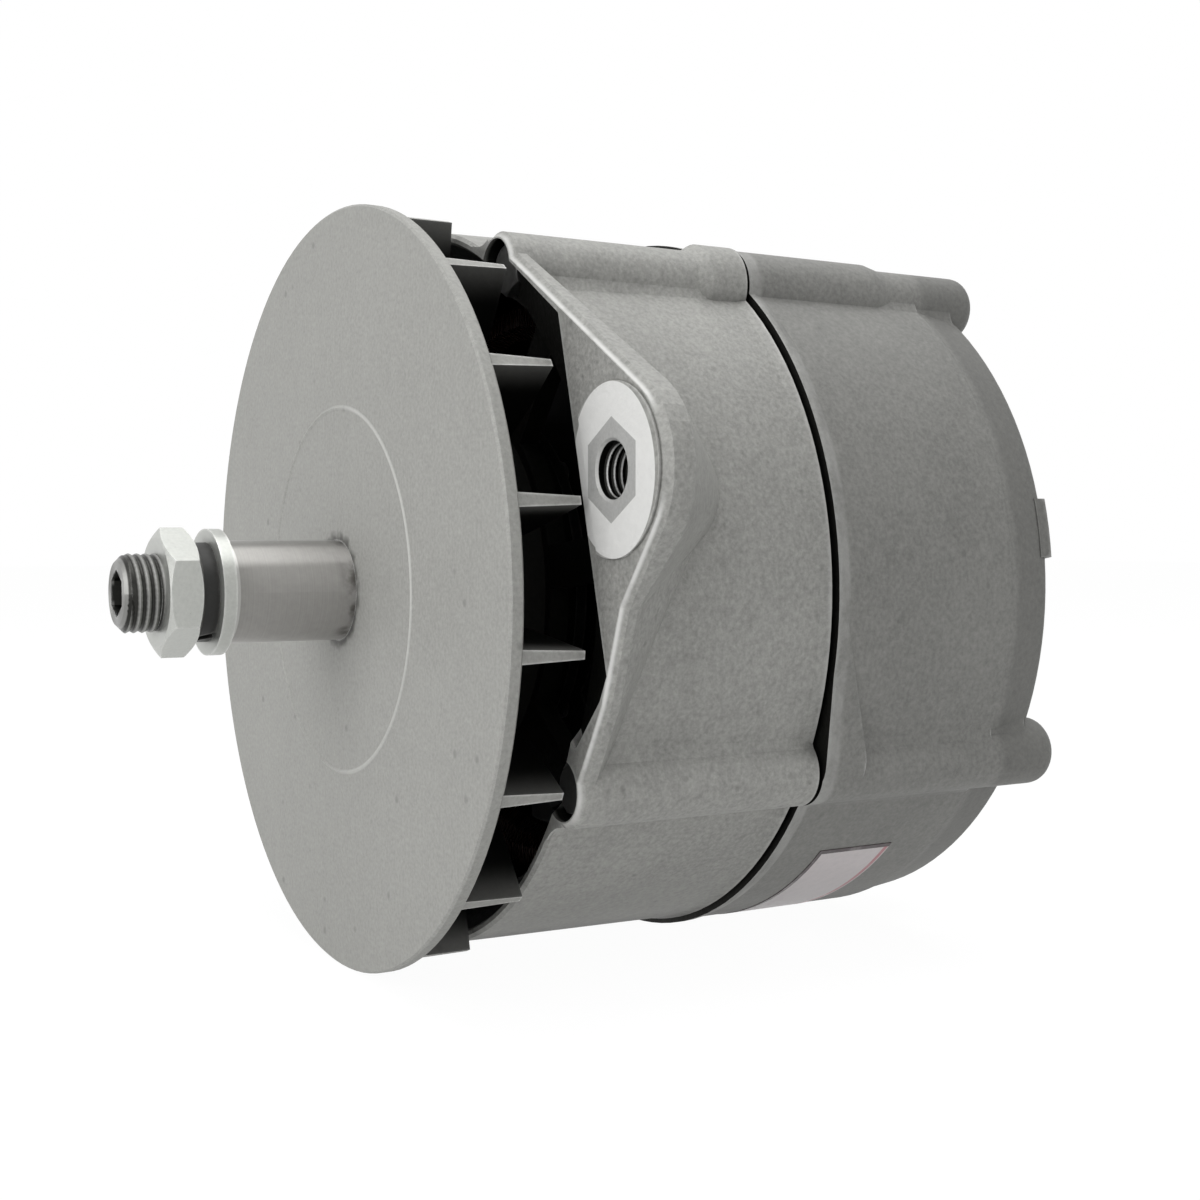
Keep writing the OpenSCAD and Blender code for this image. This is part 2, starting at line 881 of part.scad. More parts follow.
module pivot_arm(y0, y1) {
    start_r = pivot_r - 49;
    at_angle(pivot_angle)
        slab(y0, y1)
            translate([start_r, 0])
                tapered_arm(27, pivot_r - start_r, eye_r);
}

module pivot_hole(y0, y1) {
    at_place(pivot_angle, pivot_r, 0)
        rod(pivot_bore_d / 2 + bush_wall, y0 - over, y1 + over);
}

module front_windows() {
    slab(recess_y - over, web_y + over)
        difference() {
            circle(window_r1);
            circle(window_r0);
            for (k = [0 : window_count - 1])
                rotate(360 / window_count * k + 7)
                    translate([0, -arm_w / 2])
                        square([fan_r, arm_w]);
        }
}

// The hollow scooped out of the lug's front face on the side of the fan
module lug_scoop() {
    land_u = rear_r - 1.6;
    depth = 9;
    lug_frame()
        intersection() {
            translate([0, front_y - over, -fan_r])
                cube([land_u, depth + over, 2 * fan_r]);
            translate([0, front_y, 0])
                hull() {
                    scoop_peg(lug_r, 0, pad_d / 2 - 1, 2);
                    scoop_peg(bolt_r * cos(bolt_spread), bolt_r * sin(bolt_spread), 4.6, 3);
                    scoop_peg(lug_r - 6, -25, 1.4, 2);
                    scoop_peg(lug_r - 18.8, -44, 1.4, 3);
                    scoop_peg(lug_r - 30.6, -51.5, 1.4, 3);
                    scoop_peg(60, 0, 12, depth);
                }
        }
}

module scoop_peg(x, z, r, depth) {
    translate([x, -over, z])
        rotate([-90, 0, 0])
            cylinder(h = depth + over, r1 = r, r2 = r * 0.8, $fn = hull_sides);
}

module front_shell() {
    pad_y = front_y - pad_proud;
    color("darkgray")
        difference() {
            union() {
                difference() {
                    front_blank();
                    rod(trim_r, front_y - 2 * over, front_y);
                    rod(trim_r, seam_front_y, seam_front_y + 2 * over);
                }
                lug_frame()
                    lug_pad(pad_y, front_y + over);
            }
            front_recess();
            front_windows();
            lug_scoop();
            front_cavity();
            front_hub_bore();
            retainer_holes(front_bearing_end - 10, front_bearing_end + over);
            for (a = bolt_angles)
                at_place(a, bolt_r, 0) {
                    rod(bolt_hole_r, front_y - over, seam_front_y + over);
                    rod(pocket_r, front_y - over, bolt_seat_y);
                }
            lug_place()
                hex_rod(insert_af, pad_y - over, pad_y + insert_len);
            pivot_hole(front_y, front_y + front_eye_len);
        }
}

// The machined pad, a disc that ends short of the fan's blades
module lug_pad(y0, y1) {
    edge_u = blade_outer_r + 0.7;
    intersection() {
        translate([lug_r, 0, 0])
            rod(pad_d / 2, y0, y1);
        translate([edge_u, y0 - over, -pad_d])
            cube([pad_d, y1 - y0 + 2 * over, 2 * pad_d]);
    }
}

// The outer form of the front shell, a little longer than the shell at both ends
module front_blank() {
    edge = 0.8;
    collar_r = boss_r + 1.8;
    collar_y = seam_front_y - 13;
    revolve()
        polygon([
            [0, front_y - over],
            [front_r - edge - over, front_y - over],
            [front_r, front_y + edge],
            [front_seam_r, seam_front_y - 3],
            [front_seam_r + seam_lip, seam_front_y],
            [front_seam_r + seam_lip, seam_front_y + over],
            [0, seam_front_y + over]
        ]);
    for (a = bolt_angles)
        at_place(a, bolt_r, 0)
            front_boss();
    boss_webs(front_r - web_sunk, front_y - over, seam_front_y + over);
    at_place(bolt_angles[0], bolt_r, 0)
        boss_collar(collar_r, collar_y, seam_front_y + over);
    lug_frame()
        lug_body();
    pivot_arm(front_y - over, front_y + front_eye_len);
}

// Concave webs on both sides of every boss, from y0 to y1; they touch the shell at radius r
module boss_webs(r, y0, y1) {
    sunk = 0.3;
    depth = 3;
    b = boss_r - sunk;
    // The centre of the concave arc, from the three sides of the triangle of centres
    bend = acos((pow(r + web_r, 2) + pow(bolt_r, 2) - pow(b + web_r, 2)) / (2 * (r + web_r) * bolt_r));
    centre = [(r + web_r) * cos(bend), (r + web_r) * sin(bend)];
    shell_point = [r * cos(bend), r * sin(bend)];
    boss_point = [
        bolt_r + (centre[0] - bolt_r) * b / (b + web_r),
        centre[1] * b / (b + web_r)
    ];
    slab(y0, y1)
        for (a = bolt_angles)
            for (side = [-1, 1])
                rotate(a)
                    difference() {
                        polygon([
                            [bolt_r - depth, 0],
                            [shell_point[0] - depth, side * shell_point[1]],
                            [shell_point[0], side * shell_point[1]],
                            [centre[0], side * centre[1]],
                            [boss_point[0], side * boss_point[1]],
                            [bolt_r, 0]
                        ]);
                        translate([centre[0], side * centre[1]])
                            circle(web_r);
                    }
}

// A bolt boss along the front shell with a chamfered front end
module front_boss() {
    edge = 1.3;
    rod(boss_r - edge - over, front_y - over, front_y + edge, boss_r);
    rod(boss_r, front_y + edge, seam_front_y + over);
}

// A raised collar round a boss with a slanted front
module boss_collar(r, y0, y1) {
    slope = 3;
    rod(2 * boss_r - r, y0 - slope, y0 + slope, r);
    rod(r, y0 + slope, y1);
}

// The open space between the front rim and the web, round the bearing hub
module front_recess() {
    revolve()
        polygon([
            [front_hub_r - 0.4, front_y - over],
            [front_r - rim_t + 0.4, front_y - over],
            [front_r - rim_t, front_y],
            [recess_r, front_y + 6],
            [recess_r - 2, recess_y],
            [front_hub_r + 1.5, recess_y]
        ]);
}

// The space behind the web that takes the winding, and the seat of the stator core
module front_cavity() {
    revolve()
        polygon([
            [front_hub_r + 1.5, web_y],
            [cavity_r - 2, web_y],
            [cavity_r, web_y + 4],
            [cavity_r, stator_y0],
            [seat_r, stator_y0],
            [seat_r, seam_front_y + over],
            [0, seam_front_y + over],
            [0, front_bearing_end],
            [front_hub_r, front_bearing_end]
        ]);
}

module front_hub_bore() {
    lip_r = front_bearing_d / 2 - 5;
    rod(front_bearing_d / 2, front_bearing_y, front_bearing_end + over);
    rod(lip_r, front_y - over, front_bearing_y + over);
}

module rear_shell() {
    color("gray")
        difference() {
            rear_blank();
            rod(trim_r, seam_rear_y - 2 * over, seam_rear_y);
            rear_cavity();
            rod(rear_bearing_d / 2, rear_bearing_y - hub_mouth - over, rear_bearing_end);
            rod(slip_ring_r + 2, rear_bearing_end - over, rear_y + 2 + over);
            rear_vents();
            for (a = bolt_angles)
                at_place(a, bolt_r, 0)
                    rod(bolt_d / 2, seam_rear_y - over, bolt_end_y + over);
            for (a = rectifier_angles)
                at_place(a, rectifier_screw_r, 0)
                    rod(screw_r, end_wall_y - over, rear_y - 1.5);
            regulator_screw_places()
                rod(screw_r, end_wall_y + 1, rear_y + over);
            at_place(stud_angle, stud_place_r, 0)
                rod(stud_collar_r, end_wall_y - over, rear_y + over);
            signal_places()
                rod(terminal_collar_r, end_wall_y - over, rear_y + over);
            at_place(capacitor_angle, capacitor_screw_r, 0)
                rod(clip_screw_r, end_wall_y + 1, rear_y + over);
            pivot_hole(rear_eye_y - rear_eye_len, rear_eye_y);
        }
}

// The outer form of the rear shell, a little longer than the shell at the seam
module rear_blank() {
    collar_end_y = seam_rear_y + 41;
    collar_r = boss_r + 1.2;
    revolve()
        polygon([
            [0, seam_rear_y - over],
            [rear_r + seam_lip, seam_rear_y - over],
            [rear_r + seam_lip, seam_rear_y + 1.6],
            [rear_r, seam_rear_y + 4],
            [rear_r, rear_y - shoulder_len],
            [rear_r - shoulder_step, rear_y - shoulder_len + shoulder_step],
            [rear_r - shoulder_drop, rear_y - rear_edge_r],
            for (t = [15 : 15 : 75])
                [
                    rear_r - shoulder_drop - rear_edge_r * (1 - cos(t)),
                    rear_y - rear_edge_r * (1 - sin(t))
                ],
            [rear_r - shoulder_drop - rear_edge_r, rear_y],
            [0, rear_y]
        ]);
    for (a = bolt_angles)
        at_place(a, bolt_r, 0)
            rear_boss(boss_r);
    boss_webs(rear_r - web_sunk, seam_rear_y - over, rear_y - shoulder_len);
    boss_webs(rear_r - shoulder_drop - web_sunk, rear_y - shoulder_len - over, rear_y - rear_edge_r);
    at_place(bolt_angles[0], bolt_r, 0) {
        rod(collar_r, seam_rear_y - over, collar_end_y);
        rod(collar_r, collar_end_y, collar_end_y + 10, 2 * boss_r - collar_r);
    }
    lower_flare();
    rim_tab();
    pivot_arm(rear_eye_y - rear_eye_len, rear_eye_y);
    rod(rear_hub_r, rear_y - over, rear_y + hub_lip);
}

// A bolt boss along the rear shell with a rounded closed end
module rear_boss(r) {
    end_y = rear_y + boss_overhang;
    round_r = 4;
    revolve()
        polygon([
            [0, seam_rear_y - over],
            [r, seam_rear_y - over],
            for (t = [0 : 15 : 90])
                [r - round_r * (1 - cos(t)), end_y - round_r * (1 - sin(t))],
            [0, end_y]
        ]);
}

// The shell widens towards the lower boss along the seam
module lower_flare() {
    hull() {
        at_place(bolt_angles[1] + 2, bolt_r, 0)
            rod(boss_r - 0.2, seam_rear_y - over, seam_rear_y + 12, $fn = hull_sides);
        at_place(bolt_angles[1] + 24, rear_r - 4, 0)
            rod(4.4, seam_rear_y - over, seam_rear_y + 3, $fn = hull_sides);
    }
}

// A low raised land on the rear edge, on the side of the lug
module rim_tab() {
    tab_angle = 10;
    tab_w = 15;
    tab_r = rear_r - shoulder_drop + 0.3;
    intersection() {
        tube(tab_r, tab_r - 8, rear_y - 3, rear_y + 0.5);
        at_angle(tab_angle)
            translate([0, rear_y - 5, -tab_w / 2])
                cube([rear_r + over, 7, tab_w]);
    }
}

module rear_cavity() {
    revolve()
        polygon([
            [0, seam_rear_y - over],
            [seat_r, seam_rear_y - over],
            [seat_r, stator_y1],
            [cavity_r, stator_y1],
            [cavity_r, end_wall_y - 4],
            [cavity_r - 3, end_wall_y],
            [rear_hub_r + 2, end_wall_y],
            [rear_hub_r, rear_bearing_y - hub_mouth],
            [0, rear_bearing_y - hub_mouth]
        ]);
}

// Air inlets in the end wall, left out where something is fastened
module rear_vents() {
    slab(end_wall_y - over, rear_y + over)
        for (a = [vent_step / 2 : vent_step : 359])
            if (!on_wall_pad(a))
                rotate(a) {
                    translate([45, -vent_w / 2])
                        square([cavity_r - 45 - 8, vent_w]);
                    translate([cavity_r - 8, 0])
                        circle(vent_w / 2);
                    translate([45, 0])
                        circle(vent_w / 2);
                }
}

// Stator

module stator_slots(width, r0, r1) {
    for (k = [0 : slot_count - 1])
        rotate(k * 360 / slot_count)
            translate([r0, -width / 2])
                square([r1 - r0, width]);
}

module stator_core() {
    mouth_w = 2.6;
    color("dimgray")
        slab(stator_y0, stator_y1)
            difference() {
                circle(stator_r);
                circle(stator_bore_r);
                stator_slots(mouth_w, stator_bore_r - over, stator_bore_r + 3);
                stator_slots(slot_w, stator_bore_r + 2, slot_end_r);
            }
}

module stator_windings() {
    gap = 0.3;
    bar_r0 = stator_bore_r + 2 + gap;
    bar_r1 = slot_end_r - gap;
    color("chocolate") {
        slab(stator_y0 - gap, stator_y1 + gap)
            stator_slots(slot_w - 2 * gap, bar_r0, bar_r1);
        end_turns(winding_y0, stator_y0 - gap, bar_r0, bar_r1 + 2);
        end_turns(stator_y1 + gap, winding_y1, bar_r0, bar_r1 + 2);
    }
}

// The bunched end turns of the winding at one end of the core
module end_turns(y0, y1, r0, r1) {
    round_r = 3;
    revolve()
        polygon([
            [r0 + round_r, y0], [r1 - round_r, y0], [r1, y0 + round_r], [r1, y1 - round_r],
            [r1 - round_r, y1], [r0 + round_r, y1], [r0, y1 - round_r], [r0, y0 + round_r]
        ]);
}

module phase_leads() {
    lead_r = 1.3;
    place_r = (stator_bore_r + stator_r) / 2 - 1;
    color("chocolate")
        for (a = [diode_angles[1] + 12, diode_angles[3] + 12, diode_angles[5] + 12])
            at_place(a, place_r, 0)
                union() {
                    rod(lead_r, winding_y1, positive_y - 1.2);
                    rod(lead_hole_r, positive_y - 1.2, positive_y - 0.4);
                }
}

// Fasteners and bushes of the housing

module through_bolts() {
    color("dimgray")
        for (a = bolt_angles)
            at_place(a, bolt_r, 0)
                union() {
                    rod(bolt_d / 2, bolt_seat_y - bolt_washer_t, bolt_end_y);
                    hex_head(bolt_head_af, bolt_seat_y - bolt_washer_t - bolt_head_t,
                        bolt_seat_y - bolt_washer_t, true, false);
                }
}

module bolt_washers() {
    color("gray")
        for (a = bolt_angles)
            at_place(a, bolt_r, 0)
                tube(bolt_head_af / 2, bolt_d / 2, bolt_seat_y - bolt_washer_t, bolt_seat_y);
}

module lug_insert() {
    pad_y = front_y - pad_proud;
    mouth = 0.6;
    color("gray")
        lug_place()
            difference() {
                hex_rod(insert_af, pad_y, pad_y + insert_len);
                rod(lug_thread_d / 2, pad_y - over, pad_y + insert_len - 2);
                rod(lug_thread_d / 2 + 2 * mouth, pad_y - mouth, pad_y + mouth, lug_thread_d / 2);
            }
}

module pivot_bush(y0, y1) {
    at_place(pivot_angle, pivot_r, 0)
        tube(pivot_bore_d / 2 + bush_wall, pivot_bore_d / 2, y0, y1);
}

module pivot_bush_front() {
    color("silver")
        pivot_bush(front_y, front_y + front_eye_len);
}

module pivot_bush_rear() {
    color("silver")
        pivot_bush(rear_eye_y - rear_eye_len, rear_eye_y);
}

// Rectifier

// A horseshoe plate that carries one row of diodes
module rectifier_plate(y0, row_r) {
    slab(y0, y0 + plate_t)
        difference() {
            intersection() {
                difference() {
                    circle(plate_r1);
                    circle(plate_r0);
                }
                union()
                    for (a = [plate_a0 + 15 : 20 : plate_a1 - 15])
                        rotate(a)
                            polygon([
                                [0, 0],
                                [plate_r1 * 1.1, -plate_r1 * 1.1 * tan(15)],
                                [plate_r1 * 1.1, plate_r1 * 1.1 * tan(15)]
                            ]);
            }
            for (a = diode_angles)
                rotate(a)
                    translate([row_r, 0])
                        circle(diode_r);
            for (a = rectifier_angles)
                rotate(a)
                    translate([rectifier_screw_r, 0])
                        circle(screw_body_r);
        }
}

module positive_plate() {
    color("lightgray")
        difference() {
            rectifier_plate(positive_y, positive_diode_r);
            at_place(stud_angle, stud_place_r, 0)
                rod(stud_root_r, positive_y - over, positive_y + plate_t + over);
            for (a = diode_angles)
                at_place(a, negative_diode_r, 0)
                    rod(lead_hole_r, positive_y - over, positive_y + plate_t + over);
        }
}

module negative_plate() {
    color("lightgray")
        difference() {
            rectifier_plate(negative_y, negative_diode_r);
            at_place(stud_angle, stud_place_r, 0)
                rod(stud_collar_r + run_gap, negative_y - over, negative_y + plate_t + over);
        }
}

// A press-fit diode can from y0 to y1 with its lead running to lead_y
module diode(y0, y1, lead_y) {
    rod(diode_r, y0, y1);
    if (lead_y < y0)
        rod(diode_lead_r, lead_y, y0);
    else
        rod(diode_lead_r, y1, lead_y);
}

module positive_diodes() {
    color("dimgray")
        for (a = diode_angles)
            at_place(a, positive_diode_r, 0)
                diode(positive_y, positive_y + plate_t + 3, positive_y - 5);
}

module negative_diodes() {
    color("dimgray")
        for (a = diode_angles)
            at_place(a, negative_diode_r, 0)
                diode(negative_y - 3, negative_y + plate_t, positive_y - 3);
}

module rectifier_insulators() {
    color("black")
        for (a = rectifier_angles)
            at_place(a, rectifier_screw_r, 0) {
                tube(insulator_r, screw_body_r, positive_y + plate_t, negative_y);
                tube(insulator_r, screw_body_r, negative_y + plate_t, end_wall_y);
            }
}

module rectifier_screws() {
    color("dimgray")
        for (a = rectifier_angles)
            at_place(a, rectifier_screw_r, 0)
                union() {
                    rod(screw_body_r, positive_y, end_wall_y);
                    rod(screw_r, end_wall_y, rear_y - 2);
                    rod(0.8 * screw_head_r, positive_y - screw_head_t, positive_y, screw_head_r);
                }
}

// Brushes and regulator

module brush_frame() {
    at_angle(brush_angle)
        children();
}

// The bores of the brush holder, each as large as a brush and its clearance
module brush_channel(y, gap) {
    translate([holder_r0 - over, y + (slip_ring_w - brush_w) / 2 - gap, -brush_t / 2 - gap])
        cube([brush_back_r + spring_room - holder_r0 + over, brush_w + 2 * gap, brush_t + 2 * gap]);
}

module brush_holder() {
    color("black")
        difference() {
            intersection() {
                union() {
                    brush_frame()
                        translate([holder_r0, rear_y - over, -holder_half_w])
                            cube([
                                holder_r1 - holder_r0, holder_end_y - rear_y + 2 * over, 2 * holder_half_w
                            ]);
                    rod(shroud_r + shroud_wall, rear_y - over, holder_end_y + over);
                }
                holder_envelope();
            }
            rod(shroud_r, rear_y - over, holder_cap_y);
            brush_frame()
                for (y = slip_y)
                    brush_channel(y, slide_gap);
        }
}

// The room of the brush holder: it sits on the end wall and on the raised hub round the shaft
module holder_envelope() {
    step_r = rear_hub_r + run_gap;
    reach_r = holder_r1 + holder_half_w;
    revolve()
        polygon([
            [0, rear_y + hub_lip],
            [step_r, rear_y + hub_lip],
            [step_r, rear_y],
            [reach_r, rear_y],
            [reach_r, holder_end_y],
            [0, holder_end_y]
        ]);
}

module brush(y) {
    brush_frame()
        difference() {
            translate([slip_ring_r - 2, y + (slip_ring_w - brush_w) / 2, -brush_t / 2])
                cube([brush_back_r - slip_ring_r + 2, brush_w, brush_t]);
            rod(brush_r, y - over, y + slip_ring_w + over);
        }
}

module brush_inner() {
    color("darkslategray")
        brush(slip_y[0]);
}

module brush_outer() {
    color("darkslategray")
        brush(slip_y[1]);
}

// A coil spring along +X from the brush to the end of its channel, swept as a six-sided wire
module spring_coil(length) {
    turns = 5;
    steps = 14;
    sides = 6;
    wire_r = 0.4;
    coil_r = brush_w / 2 - wire_r - 0.2;
    rings = turns * steps;
    pitch = (length - 2 * wire_r) / turns;
    points = [
        for (i = [0 : rings])
            let (a = 360 * i / steps, x = wire_r + pitch * i / steps)
                for (j = [0 : sides - 1])
                    let (b = 360 * j / sides, r = coil_r + wire_r * cos(b))
                        [x + wire_r * sin(b), r * cos(a), r * sin(a)]
    ];
    walls = [
        for (i = [0 : rings - 1])
            for (j = [0 : sides - 1])
                let (n = (j + 1) % sides)
                    [i * sides + j, i * sides + n, (i + 1) * sides + n, (i + 1) * sides + j]
    ];
    front_cap = [for (j = [sides - 1 : -1 : 0]) j];
    rear_cap = [for (j = [0 : sides - 1]) rings * sides + j];
    polyhedron(points, concat(walls, [front_cap], [rear_cap]), convexity = 10);
}

module brush_spring(y) {
    color("gold")
        brush_frame()
            translate([brush_back_r, y + slip_ring_w / 2, 0])
                spring_coil(spring_room);
}

module brush_spring_inner() {
    brush_spring(slip_y[0]);
}

module brush_spring_outer() {
    brush_spring(slip_y[1]);
}

module regulator_screw_places() {
    brush_frame()
        for (side = [-1, 1])
            translate([regulator_screw_r, 0, side * regulator_screw_side])
                children();
}

// The regulator: a finned block behind the brush holder with two screw ears
module regulator() {
    fin_count = 5;
    fin_t = 2;
    fin_h = 5;
    fin_half_w = holder_half_w + 3;
    fin_step = (2 * fin_half_w - fin_t) / (fin_count - 1);
    base_end_y = holder_end_y - fin_h - 1;
    body_len = regulator_end_r - regulator_r0;
    color("silver")
        difference() {
            brush_frame()
                union() {
                    translate([regulator_r0, rear_y, -regulator_half_w])
                        cube([2 * ear_r, ear_t, 2 * regulator_half_w]);
                    translate([regulator_r0, rear_y, -fin_half_w])
                        cube([body_len, base_end_y - rear_y, 2 * fin_half_w]);
                    for (k = [0 : fin_count - 1])
                        translate([regulator_r0, base_end_y, k * fin_step - fin_half_w])
                            cube([body_len, fin_h, fin_t]);
                }
            regulator_screw_places()
                rod(screw_r, rear_y - over, rear_y + ear_t + over);
        }
}

module regulator_screws() {
    color("dimgray")
        regulator_screw_places()
            union() {
                rod(screw_r, end_wall_y + 1, rear_y + ear_t);
                rod(screw_head_r, rear_y + ear_t, rear_y + ear_t + screw_head_t, 0.8 * screw_head_r);
            }
}

// Terminals

module positive_stud() {
    color("goldenrod")
        at_place(stud_angle, stud_place_r, 0)
            union() {
                rod(stud_root_r, positive_y, stud_nut_end_y + thread_clear);
                rod(stud_d / 2, stud_nut_end_y + thread_clear, rear_y + stud_reach - 1);
                rod(stud_d / 2, rear_y + stud_reach - 1, rear_y + stud_reach, stud_d / 2 - 1);
                rod(stud_collar_r - 1, positive_y - 2, positive_y);
            }
}

module stud_insulator() {
    color("black")
        at_place(stud_angle, stud_place_r, 0)
            difference() {
                union() {
                    rod(stud_collar_r, positive_y + plate_t, rear_y);
                    rod(stud_collar_r + 3, rear_y, rear_y + stud_flange_t);
                }
                rod(stud_root_r, positive_y, rear_y + stud_flange_t + over);
            }
}

module stud_nuts() {
    nut_af_small = stud_d * 13 / 8;
    y0 = rear_y + stud_flange_t;
    color("gainsboro")
        at_place(stud_angle, stud_place_r, 0) {
            tube(stud_d * 0.95, stud_root_r, y0, y0 + stud_washer_t);
            difference() {
                hex_head(nut_af_small, y0 + stud_washer_t, stud_nut_end_y);
                rod(stud_root_r, y0, stud_nut_end_y + over);
            }
        }
}

module signal_places() {
    for (a = signal_angles)
        at_place(a, signal_r, 0)
            children();
}

module signal_terminals() {
    color("goldenrod")
        signal_places()
            union() {
                rod(terminal_r, end_wall_y - 4, rear_y + terminal_reach);
                rod(terminal_collar_r - 0.8, end_wall_y - 4, end_wall_y - 2);
                hex_head(terminal_nut_af, rear_y + terminal_flange_t,
                    rear_y + terminal_flange_t + terminal_nut_t);
            }
}

module signal_insulators() {
    color("black")
        signal_places()
            difference() {
                union() {
                    rod(terminal_collar_r, end_wall_y, rear_y);
                    rod(terminal_flange_r, rear_y, rear_y + terminal_flange_t);
                    rod(terminal_flange_r, end_wall_y - 2, end_wall_y);
                }
                rod(terminal_r, end_wall_y - 3, rear_y + terminal_flange_t + over);
            }
}

// The capacitor lies across the radius, on a sheet clip
module capacitor() {
    color("silver")
        at_place(capacitor_angle, capacitor_place_r, capacitor_y)
            translate([0, 0, -capacitor_len / 2])
                union() {
                    cylinder(h = 1, r1 = capacitor_d / 2 - 1, r2 = capacitor_d / 2);
                    translate([0, 0, 1])
                        cylinder(h = capacitor_len - 2, r = capacitor_d / 2);
                    translate([0, 0, capacitor_len - 1])
                        cylinder(h = 1, r1 = capacitor_d / 2, r2 = capacitor_d / 2 - 1);
                }
}

// A sheet strap round the capacitor with a foot screwed to the end wall
module capacitor_clip() {
    strap_t = 1.5;
    strap_w = 12;
    outer = capacitor_d / 2 + strap_t;
    foot_len = capacitor_d / 2 + 12;
    color("lightgray")
        at_place(capacitor_angle, capacitor_place_r, 0)
            union() {
                difference() {
                    union() {
                        translate([0, capacitor_y, -strap_w / 2])
                            cylinder(h = strap_w, r = outer);
                        translate([-foot_len, rear_y, -strap_w / 2])
                            cube([foot_len, capacitor_lift - 0.2, strap_w]);
                    }
                    translate([0, capacitor_y, -strap_w])
                        cylinder(h = 2 * strap_w, r = capacitor_d / 2);
                }
                translate([capacitor_screw_r - capacitor_place_r, 0, 0]) {
                    rod(clip_screw_r + 1.5, rear_y + capacitor_lift - 0.2, rear_y + capacitor_lift + 2.2);
                    rod(clip_screw_r, end_wall_y + 1, rear_y + 0.5);
                }
            }
}

rotor_shaft();
shaft_nut();
lock_washer();
plain_washer();
fan_disc();
fan_blades();
fan_spacer();
front_bearing_inner();
front_bearing_outer();
front_balls();
front_cage();
front_seal();
rear_bearing_inner();
rear_bearing_outer();
rear_balls();
rear_cage();
bearing_retainer();
retainer_screws();
claw_pole_front();
claw_pole_rear();
pole_core();
field_bobbin();
field_coil();
slip_ring_carrier();
slip_rings();
front_shell();
rear_shell();
stator_core();
stator_windings();
phase_leads();
through_bolts();
bolt_washers();
lug_insert();
pivot_bush_front();
pivot_bush_rear();
positive_plate();
negative_plate();
positive_diodes();
negative_diodes();
rectifier_insulators();
rectifier_screws();
brush_holder();
brush_inner();
brush_outer();
brush_spring_inner();
brush_spring_outer();
regulator();
regulator_screws();
positive_stud();
stud_insulator();
stud_nuts();
signal_terminals();
signal_insulators();
capacitor();
capacitor_clip();
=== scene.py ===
"""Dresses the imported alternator: threads, a bare label, finishes, a stage, lights and a camera."""

import math

import bpy
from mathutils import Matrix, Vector


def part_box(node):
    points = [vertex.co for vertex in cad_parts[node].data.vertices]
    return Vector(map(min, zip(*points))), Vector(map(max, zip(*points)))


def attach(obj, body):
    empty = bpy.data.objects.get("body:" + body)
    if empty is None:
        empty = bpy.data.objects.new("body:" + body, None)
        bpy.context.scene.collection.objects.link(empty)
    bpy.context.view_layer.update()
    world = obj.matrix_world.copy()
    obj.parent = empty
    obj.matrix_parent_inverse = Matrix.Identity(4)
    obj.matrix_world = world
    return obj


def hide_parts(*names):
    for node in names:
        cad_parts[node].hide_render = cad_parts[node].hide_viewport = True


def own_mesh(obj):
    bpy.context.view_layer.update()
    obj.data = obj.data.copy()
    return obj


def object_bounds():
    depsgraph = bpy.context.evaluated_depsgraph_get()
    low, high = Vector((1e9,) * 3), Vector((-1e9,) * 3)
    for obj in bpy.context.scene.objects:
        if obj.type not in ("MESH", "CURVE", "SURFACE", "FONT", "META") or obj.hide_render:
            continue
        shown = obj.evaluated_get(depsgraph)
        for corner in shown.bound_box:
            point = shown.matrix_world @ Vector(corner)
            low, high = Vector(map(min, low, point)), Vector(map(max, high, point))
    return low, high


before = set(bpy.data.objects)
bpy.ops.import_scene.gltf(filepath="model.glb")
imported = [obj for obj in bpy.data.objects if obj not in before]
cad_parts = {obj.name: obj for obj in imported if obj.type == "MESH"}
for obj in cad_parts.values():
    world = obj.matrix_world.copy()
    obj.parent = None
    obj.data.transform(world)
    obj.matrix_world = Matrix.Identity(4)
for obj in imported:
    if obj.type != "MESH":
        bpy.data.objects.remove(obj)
CAD_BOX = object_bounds()

bl_info = {
    "name": "Alternator dressing",
    "version": (1, 0, 0),
    "blender": (4, 5, 0),
    "location": "View3D > Sidebar > Alternator",
    "description": "Adds threads, a bare label, finishes and a stage to the packed alternator",
    "category": "Object",
}

MM = 0.001
HOUSING = "housing"
ROTOR = "rotor"


def node_centre(node):
    """The middle of a CAD node's box."""
    low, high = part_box(node)
    return (low + high) / 2


SHAFT_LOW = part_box("rotor_shaft")[0]
NUT_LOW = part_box("shaft_nut")[0]
INSERT_LOW, INSERT_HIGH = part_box("lug_insert")
INSERT_CENTRE = node_centre("lug_insert")
STUD_CENTRE = node_centre("positive_stud")
STUD_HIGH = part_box("positive_stud")[1]
STUD_NUT_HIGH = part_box("stud_nuts")[1]
SHELL_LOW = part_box("front_shell")[0]
BLADES_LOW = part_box("fan_blades")[0]
SEAM = (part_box("front_shell")[1].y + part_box("rear_shell")[0].y) / 2
WALL_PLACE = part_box("rectifier_insulators")[1].y
# Turn of the tensioner lug about the shaft, from +X towards +Z
LUG_TURN = math.atan2(INSERT_CENTRE.z, INSERT_CENTRE.x)

# Radii of the insides that are painted dark as shade: the front shell's bore and hub, the rear shell's bore,
# the lug's hollow
FRONT_BORE = 88.5 * MM
HUB = 60.0 * MM
REAR_BORE = 85.0 * MM
LUG_HOLLOW = 99.0 * MM
# Half the width of the seam between the shells, painted dark as shade
SEAM_HALF = 0.53 * MM
# Radius of the rear shell where the label is stuck on, how far it stands off, and how thick its film is
LABEL_RADIUS = 92.2 * MM
LABEL_GAP = 0.06 * MM
LABEL_FILM = 0.16 * MM
